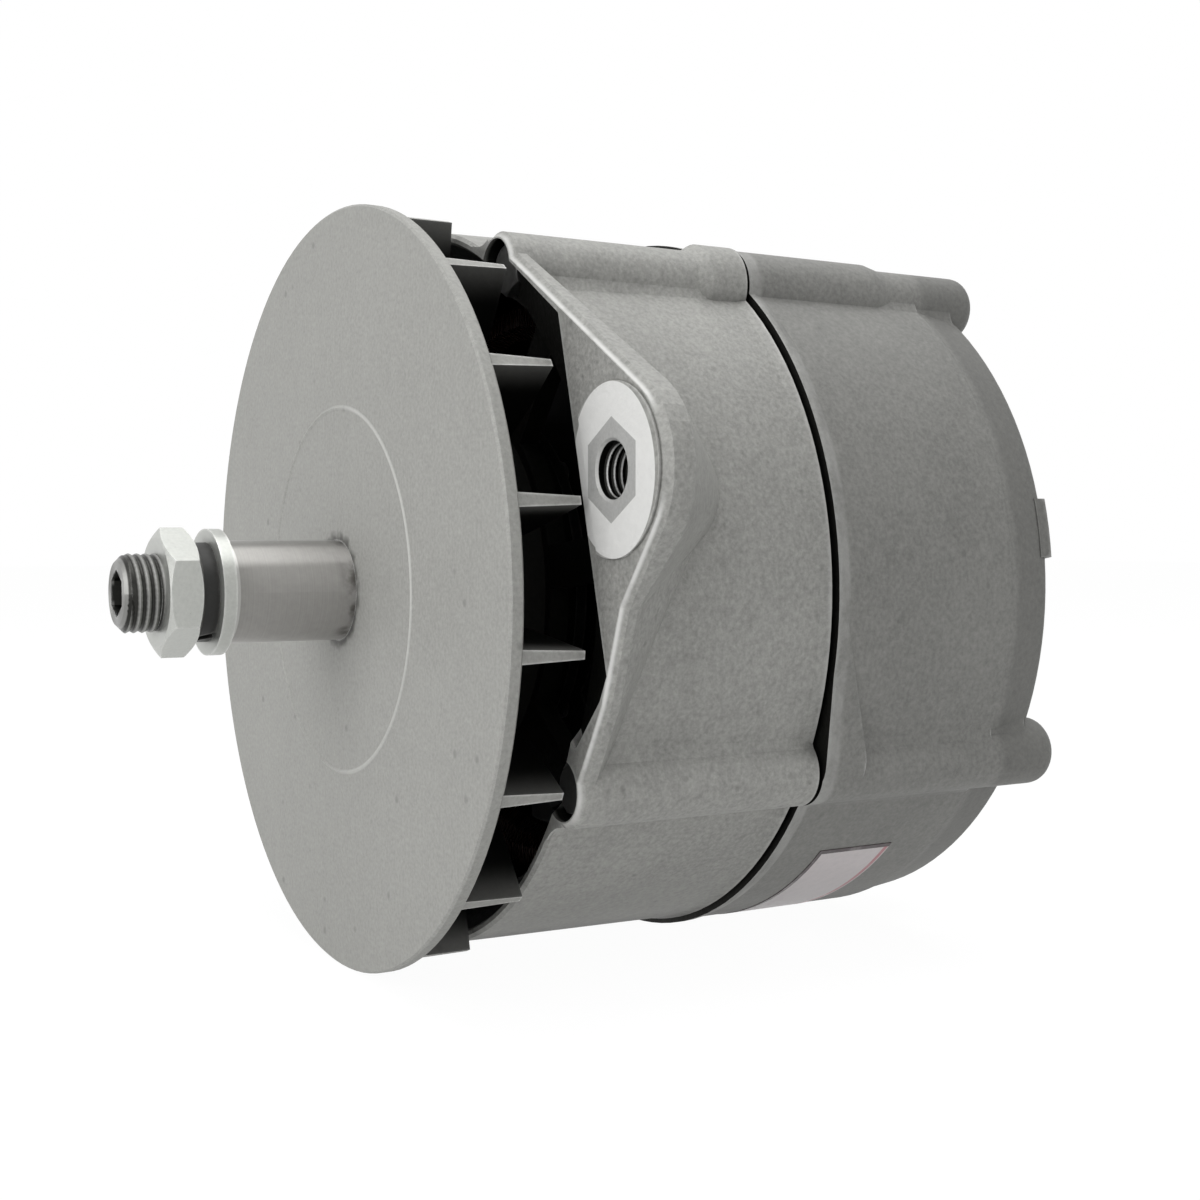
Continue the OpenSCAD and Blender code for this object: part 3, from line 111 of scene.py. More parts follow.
# On the fan: the grime round the shaft, the raised line, and where the blades come out of the painted shade
GRIME_RADIUS = 12.6 * MM
LINE_RADIUS = 44.9 * MM
BLADE_DARK = 83.0 * MM
BLADE_CLEAR = 94.0 * MM
# Radius of the machined pad
PAD_RADIUS = 18.15 * MM
# How much narrower the machined pad is towards the lug's tip, where its edge is rounded off
PAD_SHARE = 0.91
# Where the rear shell's side turns into its rounded shoulder
SHOULDER = 143.0 * MM
# One steel sheet of the stator core and the gap to the next
SHEET_PITCH = 0.5 * MM
SPRING_TURNS = 5
SPRING_STEPS = 16
THREAD_STEPS = 40
# Steps over which a thread ridge runs out at its ends
RUN_OUT = 8
# How deep a thread ridge sits in its rod, then its height and half its base as shares of the pitch
RIDGE_SINK = 0.06 * MM
RIDGE_HEIGHT = 0.22
RIDGE_BASE = 0.46
FINE_BUMP = 0.1 * MM
# The camera: its place, how many degrees it looks down, its turn about the upright from looking along +Y
CAMERA_PLACE = (0.38868, -0.15118, 0.01211)
CAMERA_TILT = 2.032
CAMERA_TURN = 59.625
CAMERA_LENS = 49.09
# Strength of the world as light, where its strength as seen is 1
WORLD_LIGHT = 0.42

# Wear, dirt, painted shade and painted highlights of the finishes
CAST_SPECK = (0.08, 0.08, 0.075, 1)
CAST_WORN = (0.60, 0.60, 0.585, 1)
CAST_DIRT_AND_SHADE = (0.05, 0.05, 0.045, 1)
CAST_DEPTH_SHADE = (0.022, 0.022, 0.020, 1)
SHOULDER_SHADE = (0.075, 0.075, 0.070, 1)
LIP_LIGHT = (0.52, 0.52, 0.505, 1)
LUG_EDGE_WEAR_AND_HIGHLIGHT = (0.72, 0.72, 0.705, 1)
FAN_SPECK = (0.1, 0.1, 0.095, 1)
FAN_GRIME = (0.035, 0.033, 0.03, 1)
FAN_LINE_HIGHLIGHT = (0.62, 0.62, 0.6, 1)
FAN_WORN_AND_HIGHLIGHT = (0.74, 0.74, 0.725, 1)
FAN_DEPTH_SHADE = (0.018, 0.018, 0.017, 1)
BLADE_SIDE_SHADE = (0.050, 0.050, 0.047, 1)
SEAT_STAIN = (0.06, 0.055, 0.045, 1)
SEAT_BEVEL_HIGHLIGHT = (0.8, 0.8, 0.78, 1)
SEAT_GAP_SHADOW = (0.03, 0.03, 0.028, 1)
NOSE_STEEL_SHADE = (0.045, 0.045, 0.042, 1)
NOSE_END = (0.32, 0.32, 0.31, 1)
STEEL_WORN = (0.75, 0.75, 0.74, 1)
THREAD_ROOT_SHADE = (0.018, 0.018, 0.016, 1)
HOLE_SHADE = (0.010, 0.010, 0.009, 1)
SMALL_DIRT_AND_SHADE = (0.025, 0.023, 0.02, 1)
SMALL_WORN = (0.7, 0.7, 0.69, 1)
SHEET_STEEL = (0.075, 0.075, 0.08, 1)
WIRE_ENAMEL = (0.060, 0.022, 0.010, 1)
LABEL_PALE = (0.63, 0.585, 0.59, 1)


class AlternatorSizes(bpy.types.PropertyGroup):
    """Sizes of the small pieces that are added to the CAD model."""

    nose_thread_radius: bpy.props.FloatProperty(
        name="Nose radius", description="Radius of the threaded shaft nose",
        default=9.0 * MM, min=4 * MM, max=20 * MM, unit="LENGTH")
    nose_pitch: bpy.props.FloatProperty(
        name="Nose pitch", description="Distance from one thread ridge of the nose to the next",
        default=2.0 * MM, min=0.5 * MM, max=3 * MM, unit="LENGTH")
    insert_thread_radius: bpy.props.FloatProperty(
        name="Insert radius", description="Radius of the threaded hole in the lug insert",
        default=6.0 * MM, min=3 * MM, max=12 * MM, unit="LENGTH")
    insert_pitch: bpy.props.FloatProperty(
        name="Insert pitch", description="Distance between the thread ridges of the lug insert",
        default=1.75 * MM, min=0.5 * MM, max=3 * MM, unit="LENGTH")
    stud_thread_radius: bpy.props.FloatProperty(
        name="Stud radius", description="Radius of the positive stud",
        default=4.0 * MM, min=2 * MM, max=8 * MM, unit="LENGTH")
    stud_pitch: bpy.props.FloatProperty(
        name="Stud pitch", description="Distance between the thread ridges of the stud",
        default=1.25 * MM, min=0.4 * MM, max=2 * MM, unit="LENGTH")
    spring_wire: bpy.props.FloatProperty(
        name="Spring wire", description="Radius of the wire of the brush springs",
        default=0.4 * MM, min=0.1 * MM, max=1 * MM, unit="LENGTH")
    spring_length: bpy.props.FloatProperty(
        name="Spring length", description="Length of a brush spring with its brush at rest",
        default=8.0 * MM, min=4 * MM, max=20 * MM, unit="LENGTH")
    brush_travel: bpy.props.FloatProperty(
        name="Brush travel", description="How far a brush slides away from its ring",
        default=3.0 * MM, min=0.5 * MM, max=8 * MM, unit="LENGTH")
    label_start: bpy.props.FloatProperty(
        name="Label start", description="Place along the shaft where the label starts",
        default=102.4 * MM, min=90 * MM, max=130 * MM, unit="LENGTH")
    label_width: bpy.props.FloatProperty(
        name="Label width", description="Width of the label along the shaft",
        default=23.0 * MM, min=10 * MM, max=40 * MM, unit="LENGTH")
    label_top: bpy.props.FloatProperty(
        name="Label top", description="Angle round the shaft of the label's upper edge",
        default=math.radians(-45.0), min=-math.pi, max=0.0, subtype="ANGLE")
    label_sweep: bpy.props.FloatProperty(
        name="Label sweep", description="Angle round the shaft that the label covers",
        default=math.radians(34.0), min=math.radians(5), max=math.pi, subtype="ANGLE")


class AlternatorFinish(bpy.types.PropertyGroup):
    """Colours of the main finishes."""

    cast_front: bpy.props.FloatVectorProperty(
        name="Front casting", description="Colour of the blasted front shell", size=4,
        default=(0.302, 0.302, 0.286, 1), min=0, max=1, subtype="COLOR")
    cast_rear: bpy.props.FloatVectorProperty(
        name="Rear casting", description="Colour of the blasted rear shell", size=4,
        default=(0.202, 0.202, 0.191, 1), min=0, max=1, subtype="COLOR")
    machined: bpy.props.FloatVectorProperty(
        name="Machined face", description="Colour of freshly machined aluminium", size=4,
        default=(0.70, 0.70, 0.685, 1), min=0, max=1, subtype="COLOR")
    fan: bpy.props.FloatVectorProperty(
        name="Fan", description="Colour of the fan disc and blades", size=4,
        default=(0.318, 0.318, 0.301, 1), min=0, max=1, subtype="COLOR")
    ground_steel: bpy.props.FloatVectorProperty(
        name="Ground steel", description="Colour of the ground pulley seat", size=4,
        default=(0.37, 0.362, 0.348, 1), min=0, max=1, subtype="COLOR")
    zinc: bpy.props.FloatVectorProperty(
        name="Zinc plate", description="Colour of the plated nut and washers", size=4,
        default=(0.48, 0.49, 0.465, 1), min=0, max=1, subtype="COLOR")
    label_border: bpy.props.FloatVectorProperty(
        name="Label border", description="Colour of the dark border of the bare label", size=4,
        default=(0.022, 0.005, 0.008, 1), min=0, max=1, subtype="COLOR")
    label_line: bpy.props.FloatVectorProperty(
        name="Label line", description="Colour of the red line inside the label's rear end", size=4,
        default=(0.40, 0.055, 0.085, 1), min=0, max=1, subtype="COLOR")


class Tree:
    """A node tree with short calls that add a node and join it to others."""

    def __init__(self, tree):
        self.tree = tree

    def fill(self, node, values):
        """Puts plain values on a node's inputs and joins other nodes' sockets to them."""
        for key, value in values.items():
            if isinstance(value, bpy.types.NodeSocket):
                self.tree.links.new(value, node.inputs[key])
            else:
                node.inputs[key].default_value = value

    def add(self, kind, values=None, **settings):
        node = self.tree.nodes.new(kind)
        for key, value in settings.items():
            setattr(node, key, value)
        self.fill(node, values or {})
        return node

    def group(self, name, **values):
        """The outputs of a shared effect that is given its own values."""
        return self.add("ShaderNodeGroup", values, node_tree=bpy.data.node_groups[name]).outputs

    def math(self, operation, a, b=0.0, clamp=False):
        node = self.add("ShaderNodeMath", {0: a, 1: b}, operation=operation, use_clamp=clamp)
        return node.outputs[0]

    def times(self, a, b):
        return self.math("MULTIPLY", a, b)

    def plus(self, a, b):
        return self.math("ADD", a, b)

    def minus(self, a, b):
        return self.math("SUBTRACT", a, b)

    def length(self, a, b):
        """The length of a vector from its two parts."""
        return self.math("SQRT", self.plus(self.times(a, a), self.times(b, b)))

    def swung(self, base, tone, amount):
        """A value that swings about base with a tone, kept between 0 and 1."""
        return self.math("ADD", base, self.times(tone, amount), clamp=True)

    def ramp(self, value, low, high, out_low=0.0, out_high=1.0):
        """Maps a value from low..high to out_low..out_high with soft ends."""
        node = self.add(
            "ShaderNodeMapRange",
            {"Value": value, "From Min": low, "From Max": high, "To Min": out_low, "To Max": out_high},
            interpolation_type="SMOOTHSTEP")
        return node.outputs["Result"]

    def fall(self, value, low, high):
        """1 below low and 0 above high."""
        return self.ramp(value, low, high, 1.0, 0.0)

    def band(self, value, start, full, fading, end):
        """1 between full and fading, 0 below start and above end."""
        return self.times(self.ramp(value, start, full), self.fall(value, fading, end))

    def mix(self, factor, a, b, blend="MIX"):
        node = self.add("ShaderNodeMix", {0: factor, 6: a, 7: b}, data_type="RGBA", blend_type=blend)
        return node.outputs[2]

    def cover(self, surface, mask, share, colour):
        """Lays a share of a colour over a surface, where the mask is."""
        return self.mix(self.times(mask, share), surface, colour)

    def toned(self, colour, tone, amount):
        """A colour made lighter and darker by a tone that swings about 0."""
        gain = self.plus(1.0, self.times(tone, amount))
        grey = self.add("ShaderNodeCombineColor", {0: gain, 1: gain, 2: gain}).outputs[0]
        return self.mix(1.0, colour, grey, "MULTIPLY")

    def bump(self, height, strength, distance):
        values = {"Height": height, "Strength": strength, "Distance": distance}
        return self.add("ShaderNodeBump", values).outputs[0]

    def place(self):
        return self.add("ShaderNodeTexCoord").outputs["Object"]

    def axes(self):
        """The place on the object as X, Y and Z."""
        return self.add("ShaderNodeSeparateXYZ", {0: self.place()}).outputs

    def noise(self, scale, detail, roughness=0.5):
        values = {"Vector": self.place(), "Scale": scale, "Detail": detail, "Roughness": roughness}
        return self.add("ShaderNodeTexNoise", values).outputs[0]

    def swing(self, noise, amount):
        """A noise moved to swing about 0."""
        return self.times(self.minus(noise, 0.5), amount)

    def away_from_shaft(self):
        """How far a surface faces away from the shaft: 1 outwards, 0 along it, -1 towards it."""
        place = self.add("ShaderNodeVectorMath", {0: self.place(), 1: (1.0, 0.0, 1.0)}, operation="MULTIPLY")
        outward = self.add("ShaderNodeVectorMath", {0: place.outputs[0]}, operation="NORMALIZE")
        facing = self.add("ShaderNodeTexCoord").outputs["Normal"]
        return self.add("ShaderNodeVectorMath", {0: outward.outputs[0], 1: facing},
                        operation="DOT_PRODUCT").outputs["Value"]

    def radius(self, centre=(0.0, 0.0, 0.0)):
        """Distance from an axis that runs along Y through centre."""
        place = self.axes()
        return self.length(self.minus(place["X"], centre[0]), self.minus(place["Z"], centre[2]))


def new_group(name, inputs, outputs):
    """The tree helper, the inputs and the output node of a new node group of plain values."""
    group = bpy.data.node_groups.new(name, "ShaderNodeTree")
    for label, default in inputs.items():
        socket = group.interface.new_socket(label, in_out="INPUT", socket_type="NodeSocketFloat")
        socket.default_value = default
    for label in outputs:
        group.interface.new_socket(label, in_out="OUTPUT", socket_type="NodeSocketFloat")
    tree = Tree(group)
    return tree, tree.add("NodeGroupInput").outputs, tree.add("NodeGroupOutput")


def build_grain_group():
    """Blasted or sand-cast skin: a fine speckle over broad soft clouds."""
    tree, given, leave = new_group("Skin grain", {"Size": 1.0, "Clouds": 1.0}, ["Tone", "Height"])
    fine = tree.noise(tree.math("DIVIDE", 900.0, given["Size"]), 3.0, 0.65)
    middle = tree.noise(230.0, 4.0, 0.6)
    broad = tree.noise(34.0, 5.0, 0.62)
    speckle = tree.plus(tree.swing(fine, 1.7), tree.swing(middle, 0.5))
    tree.fill(leave, {"Tone": tree.plus(speckle, tree.swing(broad, given["Clouds"])),
                      "Height": tree.plus(fine, tree.times(middle, 0.8))})


def build_edge_group():
    """Worn edges: a mask along the outer corners, broken up by noise."""
    tree, given, leave = new_group("Edge wear", {"Width": 1.2 * MM, "Chips": 0.5}, ["Worn"])
    inside = tree.add("ShaderNodeAmbientOcclusion", {"Distance": given["Width"]},
                      samples=6, inside=True, only_local=True)
    near = tree.minus(1.0, inside.outputs["AO"])
    broken = tree.swing(tree.noise(420.0, 3.0), given["Chips"])
    tree.fill(leave, {"Worn": tree.ramp(tree.plus(near, broken), 0.22, 0.55)})


def build_dirt_and_shade_group():
    """Dirt that has settled in the inner corners, and painted shade there."""
    tree, given, leave = new_group("Corner dirt and painted shade", {"Reach": 4.0 * MM}, ["Dirt and shade"])
    outside = tree.add("ShaderNodeAmbientOcclusion", {"Distance": given["Reach"]},
                       samples=6, inside=False, only_local=False)
    open_share = tree.plus(outside.outputs["AO"], tree.swing(tree.noise(300.0, 4.0), 0.35))
    tree.fill(leave, {"Dirt and shade": tree.fall(open_share, 0.33, 0.88)})


def build_speck_group():
    """Scattered dark specks and pits."""
    tree, given, leave = new_group("Dark specks", {"Scale": 260.0, "Share": 0.1}, ["Speck"])
    cells = tree.add("ShaderNodeTexVoronoi", {"Vector": tree.place(), "Scale": given["Scale"]})
    chosen = tree.add("ShaderNodeSeparateColor", {0: cells.outputs["Color"]}).outputs[0]
    wanted = tree.math("LESS_THAN", chosen, given["Share"])
    tree.fill(leave, {"Speck": tree.times(wanted, tree.fall(cells.outputs["Distance"], 0.08, 0.26))})


def build_turned_group():
    """Fine rings left by a lathe or a ground finish, as a tone and a height."""
    tree, given, leave = new_group("Turned rings", {"Place": 0.0, "Lines": 5200.0}, ["Tone", "Height"])
    values = {"W": tree.times(given["Place"], given["Lines"]), "Scale": 1.0, "Detail": 4.0}
    rings = tree.add("ShaderNodeTexNoise", values, noise_dimensions="1D").outputs[0]
    tree.fill(leave, {"Tone": tree.minus(rings, 0.5), "Height": rings})


def new_material(name):
    """A material, its tree helper and its Principled shader."""
    material = bpy.data.materials.new(name)
    material.use_nodes = True
    return material, Tree(material.node_tree), material.node_tree.nodes["Principled BSDF"]


def painted_shade_metallic(tree, base, mask):
    """Metallic that rises from base to 1 where shade is painted near black, so that the painted shade mirrors
    nothing bright.
    """
    return tree.plus(base, tree.times(mask, 1.0 - base))


def plain_finish(name, colour, metallic, roughness, grain=0.3, size=1.0, bump=0.15,
                 wear=0.0, wear_colour=SMALL_WORN, dirt_and_shade=0.0):
    """A finish with grain, worn edges, and dirt with painted shade in the corners, for the small pieces."""
    material, tree, shader = new_material(name)
    skin = tree.group("Skin grain", Size=size, Clouds=0.8)
    surface = tree.toned(colour, skin["Tone"], grain)
    if wear:
        worn = tree.group("Edge wear", Width=0.9 * MM, Chips=0.5)["Worn"]
        surface = tree.cover(surface, worn, wear, wear_colour)
    if dirt_and_shade:
        # Dirt with painted shade in the inner corners
        corner_dirt_and_shade = tree.group("Corner dirt and painted shade", Reach=3.0 * MM)["Dirt and shade"]
        surface = tree.cover(surface, corner_dirt_and_shade, dirt_and_shade, SMALL_DIRT_AND_SHADE)
    tree.fill(shader, {"Base Color": surface, "Metallic": metallic,
                       "Roughness": tree.swung(roughness, skin["Tone"], 0.18),
                       "Normal": tree.bump(skin["Height"], bump, FINE_BUMP)})
    return material


def casting_finish(name, colour, machined=None):
    """Blasted cast aluminium: speckle, clouds, worn edges, dirt and painted shade in the corners, an inside
    painted dark as shade and, if given, a machined pad.
    """
    material, tree, shader = new_material(name)
    along = tree.axes()["Y"]
    skin = tree.group("Skin grain", Size=1.05, Clouds=0.75)
    surface = tree.toned(colour, skin["Tone"], 0.62)
    specks = tree.group("Dark specks", Scale=230.0, Share=0.16)["Speck"]
    surface = tree.cover(surface, specks, 0.3, CAST_SPECK)
    worn = tree.group("Edge wear", Width=1.6 * MM, Chips=0.45)["Worn"]
    surface = tree.cover(surface, worn, 0.5, CAST_WORN)
    # Dirt with painted shade in the inner corners of the castings
    dirt_and_shade = tree.group("Corner dirt and painted shade", Reach=14.0 * MM)["Dirt and shade"]
    surface = tree.cover(surface, dirt_and_shade, 0.65, CAST_DIRT_AND_SHADE)
    rough = tree.swung(0.6, skin["Tone"], 0.16)
    away = tree.away_from_shaft()
    across = tree.radius()
    before_wall = tree.fall(along, WALL_PLACE, WALL_PLACE + 1.0 * MM)
    if machined is None:
        surface = rear_shades(tree, surface, along)
        # The rear shell's inside is painted dark as shade
        inner = tree.times(tree.fall(across, REAR_BORE, REAR_BORE + 1.0 * MM), before_wall)
    else:
        surface, rough = lug_details(tree, surface, rough, along, skin["Tone"], machined)
        # The lug's hollow on the side of the fan, painted dark as shade
        inner = tree.times(tree.fall(across, LUG_HOLLOW, LUG_HOLLOW + 1.0 * MM),
                           tree.band(along, SHELL_LOW.y + 1.0 * MM, SHELL_LOW.y + 2.0 * MM,
                                     SHELL_LOW.y + 9.5 * MM, SHELL_LOW.y + 11.0 * MM))
        inner = tree.times(inner, tree.fall(away, -0.05, 0.2))
    # The front shell's bore and hub are painted dark as shade
    bore_shade = tree.times(tree.fall(across, FRONT_BORE, FRONT_BORE + 0.8 * MM),
                      tree.ramp(along, SHELL_LOW.y + 1.0 * MM, SHELL_LOW.y + 2.2 * MM))
    inwards = tree.math("MAXIMUM", tree.fall(away, 0.1, 0.35), tree.fall(across, HUB, HUB + 4.0 * MM))
    bore_shade = tree.times(tree.times(bore_shade, before_wall), inwards)
    # The seam between the shells is painted dark as shade
    seam = tree.fall(tree.math("ABSOLUTE", tree.minus(along, SEAM)), SEAM_HALF, SEAM_HALF + 0.07 * MM)
    dark = tree.math("MAXIMUM", tree.math("MAXIMUM", inner, bore_shade), seam)
    # All the painted shade is laid on near black
    surface = tree.cover(surface, dark, 0.985, CAST_DEPTH_SHADE)
    tree.fill(shader, {"Base Color": surface, "Roughness": rough,
                       "Metallic": painted_shade_metallic(tree, 0.3, dark),
                       "Normal": tree.bump(skin["Height"], 0.5, 0.22 * MM)})
    return material


def rear_shades(tree, surface, along):
    """The darker round shoulder of the rear shell, and the lighter lip behind the seam."""
    shoulder = tree.ramp(along, SHOULDER - 1.5 * MM, SHOULDER + 1.5 * MM)
    surface = tree.cover(surface, shoulder, 0.36, SHOULDER_SHADE)
    lip = tree.band(along, SEAM + 0.7 * MM, SEAM + 1.3 * MM, SEAM + 3.4 * MM, SEAM + 5.0 * MM)
    lip = tree.times(lip, tree.ramp(tree.noise(120.0, 4.0), 0.35, 0.6, 0.3, 1.0))
    return tree.cover(surface, lip, 0.28, LIP_LIGHT)


def lug_details(tree, surface, rough, along, tone, machined):
    """The machined pad round the insert, and the worn line along the lug's front edge with a painted
    highlight.
    """
    place = tree.axes()
    turn_x, turn_z = math.cos(LUG_TURN), math.sin(LUG_TURN)
    out = tree.plus(tree.times(place["X"], turn_x), tree.times(place["Z"], turn_z))
    up = tree.minus(tree.times(place["Z"], turn_x), tree.times(place["X"], turn_z))
    reach = math.hypot(INSERT_CENTRE.x, INSERT_CENTRE.z)
    near = tree.length(tree.math("DIVIDE", tree.minus(out, reach), PAD_SHARE), up)
    flat = tree.fall(along, SHELL_LOW.y + 0.65 * MM, SHELL_LOW.y + 0.75 * MM)
    pad = tree.times(flat, tree.fall(near, PAD_RADIUS, PAD_RADIUS + 0.2 * MM))
    # The front edge is worn and carries a painted highlight beside the pad, only on the part that stands out
    # from the shell
    edge = tree.band(along, SHELL_LOW.y + 0.62 * MM, SHELL_LOW.y + 0.85 * MM,
                     SHELL_LOW.y + 1.0 * MM, SHELL_LOW.y + 1.6 * MM)
    edge = tree.times(edge, tree.ramp(out, 66.0 * MM, 78.0 * MM))
    beside = tree.ramp(tree.math("ABSOLUTE", tree.plus(up, 1.5 * MM)), 7.0 * MM, 13.0 * MM)
    broken = tree.ramp(tree.noise(160.0, 3.0), 0.3, 0.5, 0.6, 1.0)
    edge = tree.times(edge, tree.times(beside, broken))
    surface = tree.cover(surface, edge, 0.72, LUG_EDGE_WEAR_AND_HIGHLIGHT)
    surface = tree.mix(pad, surface, tree.toned(machined, tone, 0.07))
    return surface, tree.swung(rough, pad, 0.08)


def fan_finish(name, colour):
    """The fan: light blasted alloy, a worn rim with a painted highlight, dark specks, grime round the shaft,
    a raised line with a painted highlight on one half, painted shade on the blade sides and black painted
    shade in the depths.
    """
    material, tree, shader = new_material(name)
    place = tree.axes()
    skin = tree.group("Skin grain", Size=0.95, Clouds=0.35)
    surface = tree.toned(colour, skin["Tone"], 0.42)
    specks = tree.group("Dark specks", Scale=190.0, Share=0.10)["Speck"]
    surface = tree.cover(surface, specks, 0.36, FAN_SPECK)
    across = tree.radius()
    uneven = tree.plus(across, tree.swing(tree.noise(260.0, 4.0), 5.0 * MM))
    grime = tree.fall(uneven, GRIME_RADIUS, GRIME_RADIUS + 2.9 * MM)
    surface = tree.cover(surface, grime, 0.78, FAN_GRIME)
    # The raised line on the disc has a painted highlight on one half only
    line = tree.band(across, LINE_RADIUS, LINE_RADIUS + 0.6 * MM,
                     LINE_RADIUS + 1.0 * MM, LINE_RADIUS + 1.6 * MM)
    line = tree.times(line, tree.ramp(place["X"], -14.0 * MM, 16.0 * MM, 0.04, 1.0))
    surface = tree.cover(surface, line, 0.42, FAN_LINE_HIGHLIGHT)
    # Worn edges, whose bright colour also paints the highlight along the disc's rim
    worn = tree.group("Edge wear", Width=0.8 * MM, Chips=0.35)["Worn"]
    surface = tree.cover(surface, worn, 0.75, FAN_WORN_AND_HIGHLIGHT)
    # Painted shade on the sides of the blades behind the disc
    behind = tree.math("GREATER_THAN", place["Y"], BLADES_LOW.y - 0.4 * MM)
    sides = tree.times(behind, tree.fall(tree.away_from_shaft(), 0.4, 0.8))
    surface = tree.cover(surface, sides, 0.72, BLADE_SIDE_SHADE)
    # The depths between the blades, behind the disc, are painted near black as shade
    depth_shade = tree.times(behind, tree.fall(across, BLADE_DARK, BLADE_CLEAR))
    surface = tree.cover(surface, depth_shade, 0.97, FAN_DEPTH_SHADE)
    tree.fill(shader, {"Base Color": surface, "Roughness": tree.swung(0.64, skin["Tone"], 0.16),
                       "Metallic": painted_shade_metallic(tree, 0.3, depth_shade),
                       "Normal": tree.bump(skin["Height"], 0.3, 0.14 * MM)})
    return material


def shaft_finish(name, colour, seat_start):
    """The shaft: a threaded nose ahead of seat_start, painted dark as the shade between its ridges, then a
    ground and polished seat.
    """
    material, tree, shader = new_material(name)
    along = tree.axes()["Y"]
    rings = tree.group("Turned rings", Place=along, Lines=2600.0)
    skin = tree.group("Skin grain", Size=1.6, Clouds=0.7)
    seat = tree.toned(colour, rings["Tone"], 0.22)
    seat = tree.toned(seat, skin["Tone"], 0.12)
    near_fan = tree.times(tree.ramp(along, -5.0 * MM, -0.3 * MM),
                          tree.ramp(tree.noise(170.0, 5.0), 0.42, 0.62))
    seat = tree.cover(seat, near_fan, 0.75, SEAT_STAIN)
    # Painted shadow of the washer in the gap behind it, then a painted highlight on the bevel at the seat's
    # end
    washer_shadow = tree.fall(along, seat_start + 0.7 * MM, seat_start + 0.85 * MM)
    bevel = tree.band(along, seat_start + 0.8 * MM, seat_start + 0.9 * MM,
                      seat_start + 1.5 * MM, seat_start + 1.7 * MM)
    seat = tree.cover(seat, bevel, 0.5, SEAT_BEVEL_HIGHLIGHT)
    seat = tree.cover(seat, washer_shadow, 0.85, SEAT_GAP_SHADOW)
    # The nose under the thread is painted dark as the shade between the ridges
    nose = tree.toned(NOSE_STEEL_SHADE, skin["Tone"], 0.5)
    # The end face and its bevel are rubbed bright round the socket
    end = tree.times(tree.fall(along, SHAFT_LOW.y + 0.6 * MM, SHAFT_LOW.y + 0.9 * MM),
                     tree.ramp(tree.radius(), 5.2 * MM, 5.6 * MM))
    nose = tree.cover(nose, end, 0.85, NOSE_END)
    surface = tree.mix(tree.math("GREATER_THAN", along, seat_start), nose, seat)
    worn = tree.group("Edge wear", Width=0.7 * MM, Chips=0.4)["Worn"]
    surface = tree.cover(surface, worn, 0.6, STEEL_WORN)
    tree.fill(shader, {"Base Color": surface, "Metallic": 1.0,
                       "Roughness": tree.swung(0.42, rings["Tone"], 0.06),
                       "Normal": tree.bump(rings["Height"], 0.05, 0.04 * MM)})
    # Ground round the shaft: the gloss is drawn out along it
    round_shaft = tree.add("ShaderNodeTangent", direction_type="RADIAL", axis="Y")
    tree.fill(shader, {"Anisotropic": 0.9, "Anisotropic Rotation": 0.25, "Tangent": round_shaft.outputs[0]})
    return material


def thread_finish(name, centre, root, crest, light):
    """A cut thread: painted shade in the roots, and a painted highlight along the crests."""
    material, tree, shader = new_material(name)
    skin = tree.group("Skin grain", Size=0.7, Clouds=0.8)
    ends = (0.0, 1.0) if crest > root else (1.0, 0.0)
    # Painted shade in the roots, rising to a painted highlight at the crests
    crest_highlight = tree.ramp(tree.radius(centre), min(root, crest), max(root, crest), *ends)
    bright = tree.toned(light, skin["Tone"], 0.5)
    tree.fill(shader, {"Base Color": tree.mix(crest_highlight, THREAD_ROOT_SHADE, bright), "Metallic": 0.8,
                       "Roughness": tree.swung(0.4, skin["Tone"], 0.2),
                       "Normal": tree.bump(skin["Height"], 0.15, FINE_BUMP)})
    return material


def insert_finish(name, colour, hole):
    """The lug insert: a grey blasted hexagon with a threaded hole painted black as shade."""
    material, tree, shader = new_material(name)
    skin = tree.group("Skin grain", Size=0.7, Clouds=0.8)
    # The hole is painted near black as shade
    bore_shade = tree.fall(tree.radius(INSERT_CENTRE), hole + 0.03 * MM, hole + 0.10 * MM)
    surface = tree.mix(bore_shade, tree.toned(colour, skin["Tone"], 0.3), HOLE_SHADE)
    tree.fill(shader, {"Base Color": surface, "Metallic": painted_shade_metallic(tree, 0.35, bore_shade),
                       "Roughness": tree.swung(0.55, skin["Tone"], 0.18),
                       "Normal": tree.bump(skin["Height"], 0.15, FINE_BUMP)})
    return material


def laminated_finish(name):
    """A stack of thin steel sheets, seen as fine lines across the shaft."""
    material, tree, shader = new_material(name)
    wave = tree.math("SINE", tree.times(tree.axes()["Y"], 2 * math.pi / SHEET_PITCH))
    skin = tree.group("Skin grain", Size=1.0, Clouds=0.8)
    surface = tree.toned(SHEET_STEEL, skin["Tone"], 0.5)
    tree.fill(shader, {"Base Color": tree.toned(surface, wave, 0.25), "Metallic": 0.8,
                       "Roughness": tree.swung(0.5, skin["Tone"], 0.2),
                       "Normal": tree.bump(wave, 0.3, FINE_BUMP)})
    return material


def winding_finish(name):
    """Bunched enamelled wire: rounded strands that run over the end turns."""
    material, tree, shader = new_material(name)
    place = tree.axes()
    turn = tree.math("ARCTAN2", place["Z"], place["X"])
    lean = tree.plus(tree.times(turn, 58.0), tree.times(place["Y"], 900.0))
    strand = tree.math("SINE", tree.plus(tree.times(lean, 4.0), tree.times(tree.noise(90.0, 2.0), 9.0)))
    tree.fill(shader, {"Base Color": tree.toned(WIRE_ENAMEL, strand, 0.4), "Metallic": 0.35,
                       "Roughness": tree.ramp(strand, -1.0, 1.0, 0.42, 0.26),
                       "Normal": tree.bump(strand, 0.6, 0.4 * MM)})
    return material


